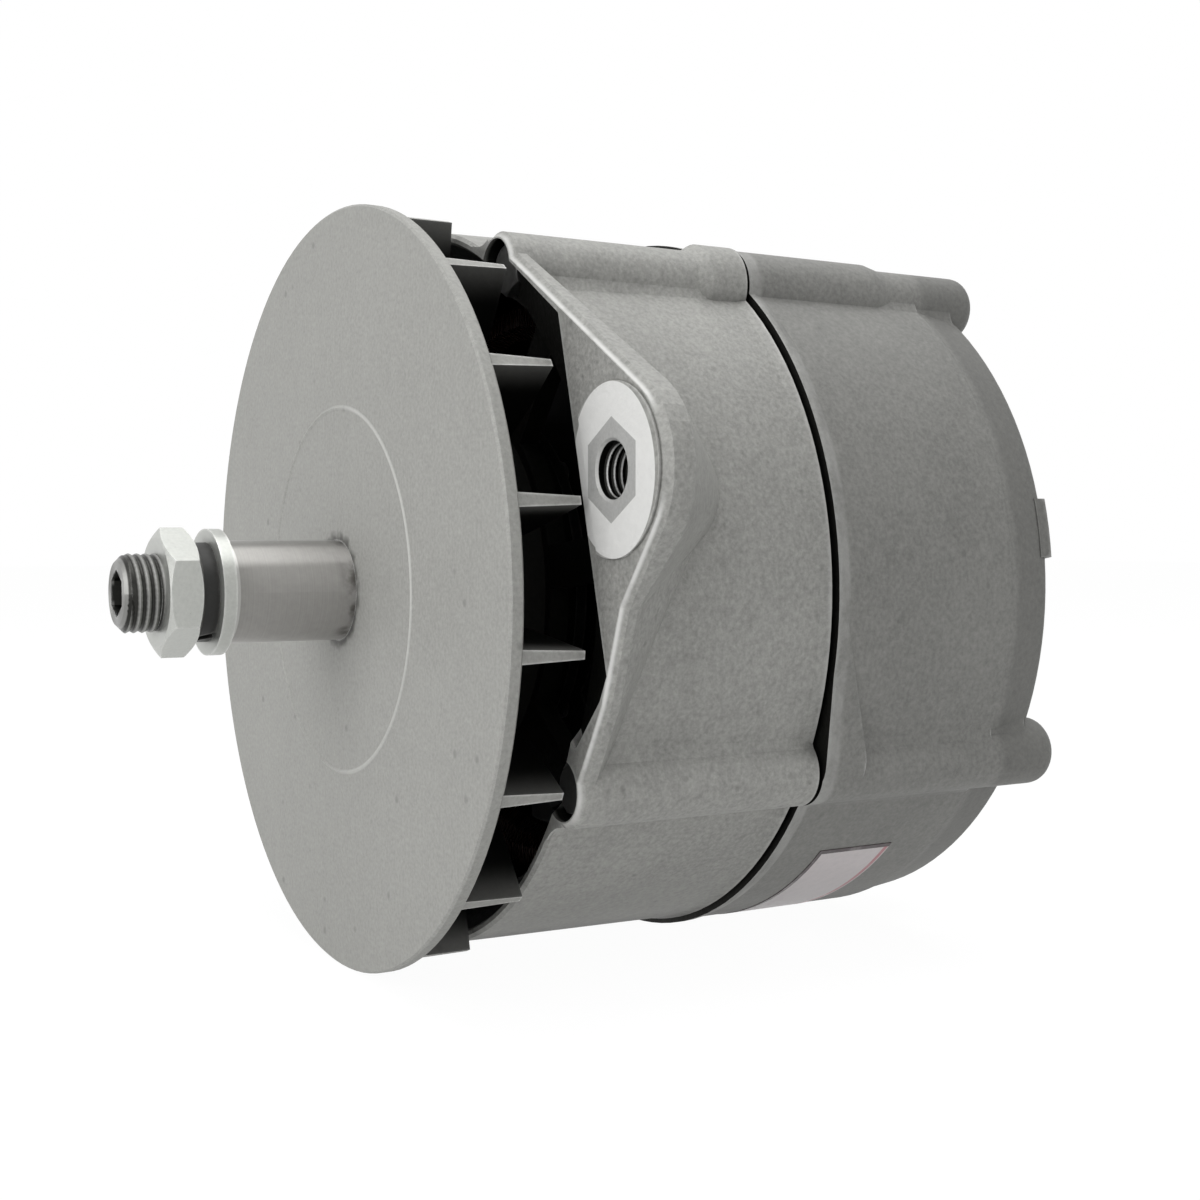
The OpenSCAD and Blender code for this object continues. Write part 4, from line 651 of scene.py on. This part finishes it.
def label_finish(name, border_colour, line_colour):
    """A bare label: pale film, a dark border on two sides, a red line at its rear end and nothing else."""
    material, tree, shader = new_material(name)
    parts = tree.add("ShaderNodeSeparateXYZ", {0: tree.add("ShaderNodeUVMap").outputs[0]}).outputs
    along, up = parts["X"], parts["Y"]
    border = tree.math("MAXIMUM", tree.math("LESS_THAN", along, 0.05), tree.math("GREATER_THAN", up, 0.972))
    line = tree.times(tree.math("GREATER_THAN", along, 0.93), tree.math("LESS_THAN", along, 0.985))
    skin = tree.group("Skin grain", Size=2.0, Clouds=1.2)
    faded = tree.ramp(tree.noise(300.0, 4.0), 0.5, 0.68, 1.0, 0.8)
    surface = tree.toned(LABEL_PALE, skin["Tone"], 0.2)
    surface = tree.cover(surface, tree.times(line, faded), 0.8, line_colour)
    surface = tree.mix(tree.times(border, faded), surface, border_colour)
    tree.fill(shader, {"Base Color": surface, "Roughness": tree.swung(0.38, skin["Tone"], 0.2)})
    return material


def give(material, *nodes):
    """Puts one finish on CAD nodes."""
    for node in nodes:
        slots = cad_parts[node].data.materials
        slots.clear()
        slots.append(material)


def start_piece():
    """Deselects everything, so that an operator acts on the new primitive alone."""
    bpy.ops.object.select_all(action="DESELECT")


def finish_piece(piece, name, body, material):
    """Names a piece, applies its place, gives it its finish and makes it ride."""
    piece.name = name
    bpy.ops.object.select_all(action="DESELECT")
    piece.select_set(True)
    bpy.context.view_layer.objects.active = piece
    bpy.ops.object.transform_apply(location=True, rotation=True, scale=True)
    piece.data.materials.clear()
    piece.data.materials.append(material)
    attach(piece, body)


def wind_profile(piece, axis, rise, turns, steps):
    """Winds a flat profile up into a helix about an axis."""
    wind = piece.modifiers.new("Wind", "SCREW")
    wind.axis = axis
    wind.screw_offset = rise
    wind.iterations = turns
    wind.steps = steps
    wind.render_steps = steps
    wind.use_merge_vertices = False
    bpy.ops.object.modifier_apply(modifier=wind.name)


def close_ends(corners, smooth):
    """Closes both ends of a wound piece, turns its faces outwards and smooths edges up to an angle."""
    bpy.ops.object.mode_set(mode="EDIT")
    bpy.ops.mesh.select_all(action="SELECT")
    bpy.ops.mesh.fill_holes(sides=corners)
    bpy.ops.mesh.select_all(action="SELECT")
    bpy.ops.mesh.normals_make_consistent(inside=False)
    bpy.ops.object.mode_set(mode="OBJECT")
    bpy.ops.object.shade_smooth_by_angle(angle=math.radians(smooth))


def thread_ridge(name, centre, radius, pitch, start, end, body, material,
                 inward=False, bevel=0.0):
    """A helical ridge from start to end, on a rod or in a hole, cut down where the rod's end is bevelled."""
    side = -1 if inward else 1
    root = radius - side * RIDGE_SINK
    crest = radius + side * RIDGE_HEIGHT * pitch
    start_piece()
    bpy.ops.mesh.primitive_circle_add(vertices=3, radius=pitch / 2, fill_type="NGON", location=(0, 0, 0))
    piece = bpy.context.object
    bpy.ops.object.mode_set(mode="EDIT")
    bpy.ops.mesh.select_all(action="SELECT")
    bpy.ops.mesh.delete(type="ONLY_FACE")
    bpy.ops.object.mode_set(mode="OBJECT")
    corners = ((root, -RIDGE_BASE * pitch), (crest, 0.0), (root, RIDGE_BASE * pitch))
    for vertex, (away, along) in zip(piece.data.vertices, corners):
        vertex.co = Vector((away, along, 0))
    wind_profile(piece, "Y", pitch, max(1, round((end - start) / pitch)), THREAD_STEPS)
    # The ridge runs out over a part of a turn at each end
    last = len(piece.data.vertices) // 3 - 1
    for index, vertex in enumerate(piece.data.vertices):
        step = index // 3
        share = min(1.0, (1 + step) / RUN_OUT, (1 + last - step) / RUN_OUT)
        away = math.hypot(vertex.co.x, vertex.co.z)
        wanted = root + (away - root) * share - max(0.0, bevel - pitch / 2 - vertex.co.y)
        vertex.co.x *= wanted / away
        vertex.co.z *= wanted / away
    close_ends(3, 35)
    piece.location = (centre[0], start + pitch / 2, centre[2])
    finish_piece(piece, name, body, material)


def brush_spring(name, node, sizes, material):
    """A coil spring along a radius of the shaft, built where the CAD spring was, which is hidden."""
    low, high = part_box(node)
    centre = (low + high) / 2
    outward = Vector((centre.x, 0, centre.z)).normalized()
    wire, length = sizes.spring_wire, sizes.spring_length
    coil = (high.y - low.y) / 2 - wire
    start_piece()
    bpy.ops.mesh.primitive_circle_add(vertices=6, radius=wire, location=(coil, 0, 0),
                                      rotation=(math.radians(90), 0, 0))
    piece = bpy.context.object
    bpy.ops.object.transform_apply(location=True, rotation=True, scale=True)
    wind_profile(piece, "Z", (length - 2 * wire) / SPRING_TURNS, SPRING_TURNS, SPRING_STEPS)
    close_ends(6, 65)
    piece.rotation_euler = (0, math.atan2(outward.x, outward.z), 0)
    piece.location = centre - outward * (length / 2 - wire)
    finish_piece(piece, name, HOUSING, material)
    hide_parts(node)
    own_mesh(piece)


class ALTERNATOR_OT_effects(bpy.types.Operator):
    """Builds the shader groups that the finishes share"""

    bl_idname = "alternator.effects"
    bl_label = "Shared effects"

    def execute(self, context):
        for build in (build_grain_group, build_edge_group, build_dirt_and_shade_group, build_speck_group,
                      build_turned_group):
            build()
        return {"FINISHED"}


class ALTERNATOR_OT_castings(bpy.types.Operator):
    """Gives the two shells their blasted cast finish"""

    bl_idname = "alternator.castings"
    bl_label = "Castings"

    def execute(self, context):
        finish = context.scene.alternator_finish
        give(casting_finish("Blasted front casting", finish.cast_front, finish.machined), "front_shell")
        give(casting_finish("Blasted rear casting", finish.cast_rear), "rear_shell")
        return {"FINISHED"}


class ALTERNATOR_OT_fan(bpy.types.Operator):
    """Gives the fan disc and its blades their finish"""

    bl_idname = "alternator.fan"
    bl_label = "Fan"

    def execute(self, context):
        finish = context.scene.alternator_finish
        give(fan_finish("Fan alloy", finish.fan), "fan_disc", "fan_blades")
        return {"FINISHED"}


class ALTERNATOR_OT_pulley_end(bpy.types.Operator):
    """Finishes the shaft, the nut and the washers, and adds the thread of the nose"""

    bl_idname = "alternator.pulley_end"
    bl_label = "Pulley end"

    def execute(self, context):
        sizes = context.scene.alternator_sizes
        finish = context.scene.alternator_finish
        seat_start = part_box("plain_washer")[1].y
        shaft = shaft_finish("Ground shaft", finish.ground_steel, seat_start)
        give(shaft, "rotor_shaft")
        plated = plain_finish("Zinc plate", finish.zinc, 0.75, 0.36, grain=0.22, size=0.8, bump=0.12,
                              wear=0.5, wear_colour=(0.86, 0.86, 0.84, 1), dirt_and_shade=0.35)
        give(plated, "shaft_nut", "plain_washer")
        # The lock washer is painted near black as the shade between the nut and the plain washer
        sprung = plain_finish("Spring washer steel", (0.030, 0.030, 0.029, 1), 0.6, 0.45, grain=0.4,
                              wear=0.35, wear_colour=(0.35, 0.35, 0.34, 1), dirt_and_shade=0.5)
        give(sprung, "lock_washer")
        nose = sizes.nose_thread_radius
        cut = thread_finish("Cut thread steel", (0, 0, 0), nose + 0.02 * MM, nose + 0.32 * MM,
                            (0.25, 0.25, 0.24, 1))
        thread_ridge("nose_thread", (0, 0, 0), nose, sizes.nose_pitch,
                     SHAFT_LOW.y + 0.3 * MM, NUT_LOW.y + 1.0 * MM, ROTOR, cut,
                     bevel=1.1 * MM)
        return {"FINISHED"}


class ALTERNATOR_OT_mounting(bpy.types.Operator):
    """Finishes the lug insert, the pivot bushes and the bolts, and adds the thread of the insert"""

    bl_idname = "alternator.mounting"
    bl_label = "Mounting points"

    def execute(self, context):
        sizes = context.scene.alternator_sizes
        hole = sizes.insert_thread_radius
        give(insert_finish("Insert steel", (0.42, 0.42, 0.41, 1), hole), "lug_insert")
        give(plain_finish("Bush steel", (0.50, 0.50, 0.49, 1), 0.9, 0.32, grain=0.25, wear=0.4, dirt_and_shade=0.3),
             "pivot_bush_front", "pivot_bush_rear")
        give(plain_finish("Bolt steel", (0.22, 0.22, 0.215, 1), 0.85, 0.4, grain=0.4, wear=0.7, dirt_and_shade=0.3),
             "through_bolts", "bolt_washers", "retainer_screws", "rectifier_screws", "regulator_screws")
        tapped = thread_finish("Tapped hole steel", INSERT_CENTRE, hole - 0.16 * MM, hole - 0.36 * MM,
                               (0.62, 0.62, 0.61, 1))
        thread_ridge("insert_thread", INSERT_CENTRE, hole, sizes.insert_pitch,
                     INSERT_LOW.y + 0.8 * MM, INSERT_HIGH.y - 2.0 * MM, HOUSING, tapped,
                     inward=True)
        return {"FINISHED"}


class ALTERNATOR_OT_label(bpy.types.Operator):
    """Adds the bare label that is stuck round the lower side of the rear shell"""

    bl_idname = "alternator.label"
    bl_label = "Bare label"

    def execute(self, context):
        sizes = context.scene.alternator_sizes
        finish = context.scene.alternator_finish
        middle = sizes.label_top - sizes.label_sweep / 2
        length = LABEL_RADIUS * sizes.label_sweep
        start_piece()
        bpy.ops.mesh.primitive_grid_add(x_subdivisions=8, y_subdivisions=40, size=1, location=(0, 0, 0))
        piece = bpy.context.object
        piece.scale = (sizes.label_width, length, 1)
        bpy.ops.object.transform_apply(location=False, rotation=False, scale=True)
        for vertex in piece.data.vertices:
            angle = middle + vertex.co.y / LABEL_RADIUS
            along = sizes.label_start + sizes.label_width / 2 + vertex.co.x
            away = LABEL_RADIUS + LABEL_GAP
            vertex.co = Vector((away * math.cos(angle), along, away * math.sin(angle)))
        piece.data.update()
        bpy.ops.object.mode_set(mode="EDIT")
        bpy.ops.mesh.select_all(action="SELECT")
        bpy.ops.mesh.normals_make_consistent(inside=False)
        bpy.ops.object.mode_set(mode="OBJECT")
        film = piece.modifiers.new("Film", "SOLIDIFY")
        film.thickness = LABEL_FILM
        film.offset = 0
        bpy.ops.object.modifier_apply(modifier=film.name)
        bpy.ops.object.shade_smooth_by_angle(angle=math.radians(40))
        film_finish = label_finish("Bare label film", finish.label_border, finish.label_line)
        finish_piece(piece, "bare_label", HOUSING, film_finish)
        return {"FINISHED"}


class ALTERNATOR_OT_bearings(bpy.types.Operator):
    """Finishes the bearings, the seal and the bearing retainer"""

    bl_idname = "alternator.bearings"
    bl_label = "Bearings"

    def execute(self, context):
        give(plain_finish("Bearing steel", (0.60, 0.60, 0.59, 1), 1.0, 0.2, grain=0.1, bump=0.05, wear=0.3),
             "front_bearing_inner", "front_bearing_outer", "rear_bearing_inner", "rear_bearing_outer",
             "front_balls", "rear_balls")
        give(plain_finish("Pressed brass", (0.58, 0.38, 0.12, 1), 0.9, 0.32, grain=0.2, wear=0.3),
             "front_cage", "rear_cage")
        give(plain_finish("Seal rubber", (0.02, 0.02, 0.02, 1), 0.0, 0.62, grain=0.4), "front_seal")
        # Near black, below the sheet's own grey, as painted shade behind the fan
        give(plain_finish("Retainer sheet", (0.028, 0.028, 0.027, 1), 0.95, 0.6, grain=0.3, wear=0.15,
                          dirt_and_shade=0.5),
             "bearing_retainer", "fan_spacer")
        return {"FINISHED"}


class ALTERNATOR_OT_rotor_and_stator(bpy.types.Operator):
    """Finishes the poles, the coils, the stator core and the slip rings"""

    bl_idname = "alternator.rotor_and_stator"
    bl_label = "Rotor and stator"

    def execute(self, context):
        # Near black, below the iron's own grey, as painted shade behind the fan
        give(plain_finish("Pole iron", (0.030, 0.030, 0.031, 1), 0.95, 0.6, grain=0.5, wear=0.15, dirt_and_shade=0.5),
             "claw_pole_front", "claw_pole_rear", "pole_core")
        give(laminated_finish("Laminated steel"), "stator_core")
        give(winding_finish("Enamelled wire"), "stator_windings", "field_coil")
        give(plain_finish("Lead wire", (0.30, 0.11, 0.04, 1), 0.4, 0.34, grain=0.3), "phase_leads")
        give(plain_finish("Bobbin plastic", (0.50, 0.43, 0.30, 1), 0.0, 0.5, grain=0.2), "field_bobbin")
        give(plain_finish("Ring carrier plastic", (0.09, 0.035, 0.02, 1), 0.0, 0.45, grain=0.3),
             "slip_ring_carrier")
        give(plain_finish("Ring copper", (0.66, 0.29, 0.14, 1), 1.0, 0.24, grain=0.15, wear=0.2),
             "slip_rings")
        return {"FINISHED"}


class ALTERNATOR_OT_rear_end(bpy.types.Operator):
    """Finishes the rectifier, the brush gear and the terminals, and adds the springs and the stud's thread"""

    bl_idname = "alternator.rear_end"
    bl_label = "Rear end"

    def execute(self, context):
        sizes = context.scene.alternator_sizes
        give(plain_finish("Sink alloy", (0.44, 0.44, 0.43, 1), 0.7, 0.42, grain=0.3, wear=0.4, dirt_and_shade=0.3),
             "positive_plate", "negative_plate", "regulator")
        give(plain_finish("Diode metal", (0.30, 0.30, 0.31, 1), 0.9, 0.3, grain=0.3, wear=0.4),
             "positive_diodes", "negative_diodes")
        give(plain_finish("Black moulding", (0.016, 0.016, 0.017, 1), 0.0, 0.44, grain=0.35, size=0.7,
                          bump=0.25, wear=0.25, wear_colour=(0.12, 0.12, 0.12, 1), dirt_and_shade=0.15),
             "rectifier_insulators", "stud_insulator", "signal_insulators", "brush_holder")
        give(plain_finish("Brush carbon", (0.028, 0.027, 0.026, 1), 0.1, 0.55, grain=0.5),
             "brush_inner", "brush_outer")
        wire = plain_finish("Spring wire", (0.48, 0.44, 0.34, 1), 1.0, 0.28, grain=0.2)
        brush_spring("inner_spring", "brush_spring_inner", sizes, wire)
        brush_spring("outer_spring", "brush_spring_outer", sizes, wire)
        give(plain_finish("Terminal brass", (0.60, 0.44, 0.17, 1), 0.95, 0.3, grain=0.25, wear=0.3,
                          dirt_and_shade=0.25),
             "positive_stud", "signal_terminals")
        finish = context.scene.alternator_finish
        give(plain_finish("Terminal plate", finish.zinc, 0.8, 0.34, grain=0.25, wear=0.5, dirt_and_shade=0.3),
             "stud_nuts", "capacitor_clip")
        give(plain_finish("Drawn can", (0.52, 0.52, 0.51, 1), 0.85, 0.34, grain=0.2, wear=0.3, dirt_and_shade=0.25),
             "capacitor")
        brass = plain_finish("Rolled brass thread", (0.62, 0.46, 0.18, 1), 1.0, 0.28, grain=0.2)
        thread_ridge("stud_thread", STUD_CENTRE, sizes.stud_thread_radius, sizes.stud_pitch,
                     STUD_NUT_HIGH.y + 0.1 * MM, STUD_HIGH.y - 1.2 * MM, HOUSING, brass)
        return {"FINISHED"}


class ALTERNATOR_OT_stage(bpy.types.Operator):
    """Adds the pale floor, the soft studio light, the world and the camera"""

    bl_idname = "alternator.stage"
    bl_label = "Stage"

    def execute(self, context):
        start_piece()
        bpy.ops.mesh.primitive_plane_add(size=14, location=(0, 0, CAD_BOX[0].z))
        floor = bpy.context.object
        floor.name = "studio_floor"
        floor.data.materials.append(floor_finish())
        build_world()
        lamp("Key", (0.20, -1.38, 0.50), 1.3, 1.3, 13.0)
        lamp("Side", (1.35, -0.35, 0.75), 1.2, 1.2, 0.4)
        lamp("Top", (0.05, 0.20, 1.45), 1.4, 1.4, 14.8)
        add_camera(context.scene)
        context.scene.view_settings.view_transform = "Standard"
        return {"FINISHED"}


def seen_directly(tree):
    """One where a camera, a mirror or a glass sees the surface."""
    path = tree.add("ShaderNodeLightPath")
    seen = tree.math("MAXIMUM", path.outputs["Is Camera Ray"], path.outputs["Is Glossy Ray"])
    return tree.math("MAXIMUM", seen, path.outputs["Is Transmission Ray"])


def floor_finish():
    """A pale floor that reads as white and keeps a soft shadow."""
    material = bpy.data.materials.new("Pale floor")
    material.use_nodes = True
    material.node_tree.nodes.clear()
    tree = Tree(material.node_tree)
    tone = tree.ramp(tree.noise(60.0, 4.0), 0.3, 0.7, 0.80, 0.84)
    colour = tree.add("ShaderNodeCombineColor", {0: tone, 1: tone, 2: tone}).outputs[0]
    diffuse = tree.add("ShaderNodeBsdfDiffuse", {"Color": colour})
    glow = tree.add("ShaderNodeEmission", {"Color": (1, 1, 1, 1), "Strength": 1.04})
    share = tree.times(seen_directly(tree), 0.93)
    mixed = tree.add("ShaderNodeMixShader", {0: share, 1: diffuse.outputs[0], 2: glow.outputs[0]})
    tree.add("ShaderNodeOutputMaterial", {"Surface": mixed.outputs[0]})
    return material


def build_world():
    """An even world: plain for the light it gives, white where it is seen."""
    world = bpy.data.worlds.new("Studio")
    world.use_nodes = True
    world.node_tree.nodes.clear()
    tree = Tree(world.node_tree)
    strength = tree.plus(WORLD_LIGHT, tree.times(seen_directly(tree), 1.0 - WORLD_LIGHT))
    background = tree.add("ShaderNodeBackground", {"Color": (1, 1, 1, 1), "Strength": strength})
    tree.add("ShaderNodeOutputWorld", {"Surface": background.outputs[0]})
    bpy.context.scene.world = world


def add_camera(scene):
    """The camera that was fitted to the photograph by least squares."""
    data = bpy.data.cameras.new("Photo camera")
    data.lens = CAMERA_LENS
    data.sensor_width = 36
    data.clip_start = 0.01
    camera = bpy.data.objects.new("Photo camera", data)
    scene.collection.objects.link(camera)
    camera.location = CAMERA_PLACE
    camera.rotation_euler = (math.radians(90 - CAMERA_TILT), 0, math.radians(CAMERA_TURN))
    scene.camera = camera


def lamp(name, place, width, height, power):
    """A soft rectangular lamp aimed at the middle of the alternator."""
    data = bpy.data.lights.new(name, "AREA")
    data.shape = "RECTANGLE"
    data.size, data.size_y = width, height
    data.energy = power
    light = bpy.data.objects.new(name, data)
    bpy.context.scene.collection.objects.link(light)
    middle = (CAD_BOX[0] + CAD_BOX[1]) / 2
    light.location = place
    light.rotation_euler = (Vector(place) - middle).to_track_quat("Z", "Y").to_euler()


OPERATORS = (
    ALTERNATOR_OT_effects,
    ALTERNATOR_OT_castings,
    ALTERNATOR_OT_fan,
    ALTERNATOR_OT_pulley_end,
    ALTERNATOR_OT_mounting,
    ALTERNATOR_OT_label,
    ALTERNATOR_OT_bearings,
    ALTERNATOR_OT_rotor_and_stator,
    ALTERNATOR_OT_rear_end,
    ALTERNATOR_OT_stage,
)


class ALTERNATOR_PT_panel(bpy.types.Panel):
    """Lists the sizes, the colours and the steps of the alternator"""

    bl_idname = "ALTERNATOR_PT_panel"
    bl_label = "Alternator"
    bl_space_type = "VIEW_3D"
    bl_region_type = "UI"
    bl_category = "Alternator"

    def draw(self, context):
        for group in (context.scene.alternator_sizes, context.scene.alternator_finish):
            column = self.layout.column()
            for name in group.__annotations__:
                column.prop(group, name)
        for operator in OPERATORS:
            self.layout.operator(operator.bl_idname)


CLASSES = (AlternatorSizes, AlternatorFinish, *OPERATORS, ALTERNATOR_PT_panel)


def register():
    for kind in CLASSES:
        bpy.utils.register_class(kind)
    bpy.types.Scene.alternator_sizes = bpy.props.PointerProperty(type=AlternatorSizes)
    bpy.types.Scene.alternator_finish = bpy.props.PointerProperty(type=AlternatorFinish)


def unregister():
    del bpy.types.Scene.alternator_finish
    del bpy.types.Scene.alternator_sizes
    for kind in reversed(CLASSES):
        bpy.utils.unregister_class(kind)


def main():
    """Runs every step in order."""
    register()
    for operator in OPERATORS:
        family, step = operator.bl_idname.split(".")
        getattr(getattr(bpy.ops, family), step)()


if __name__ == "__main__":
    main()
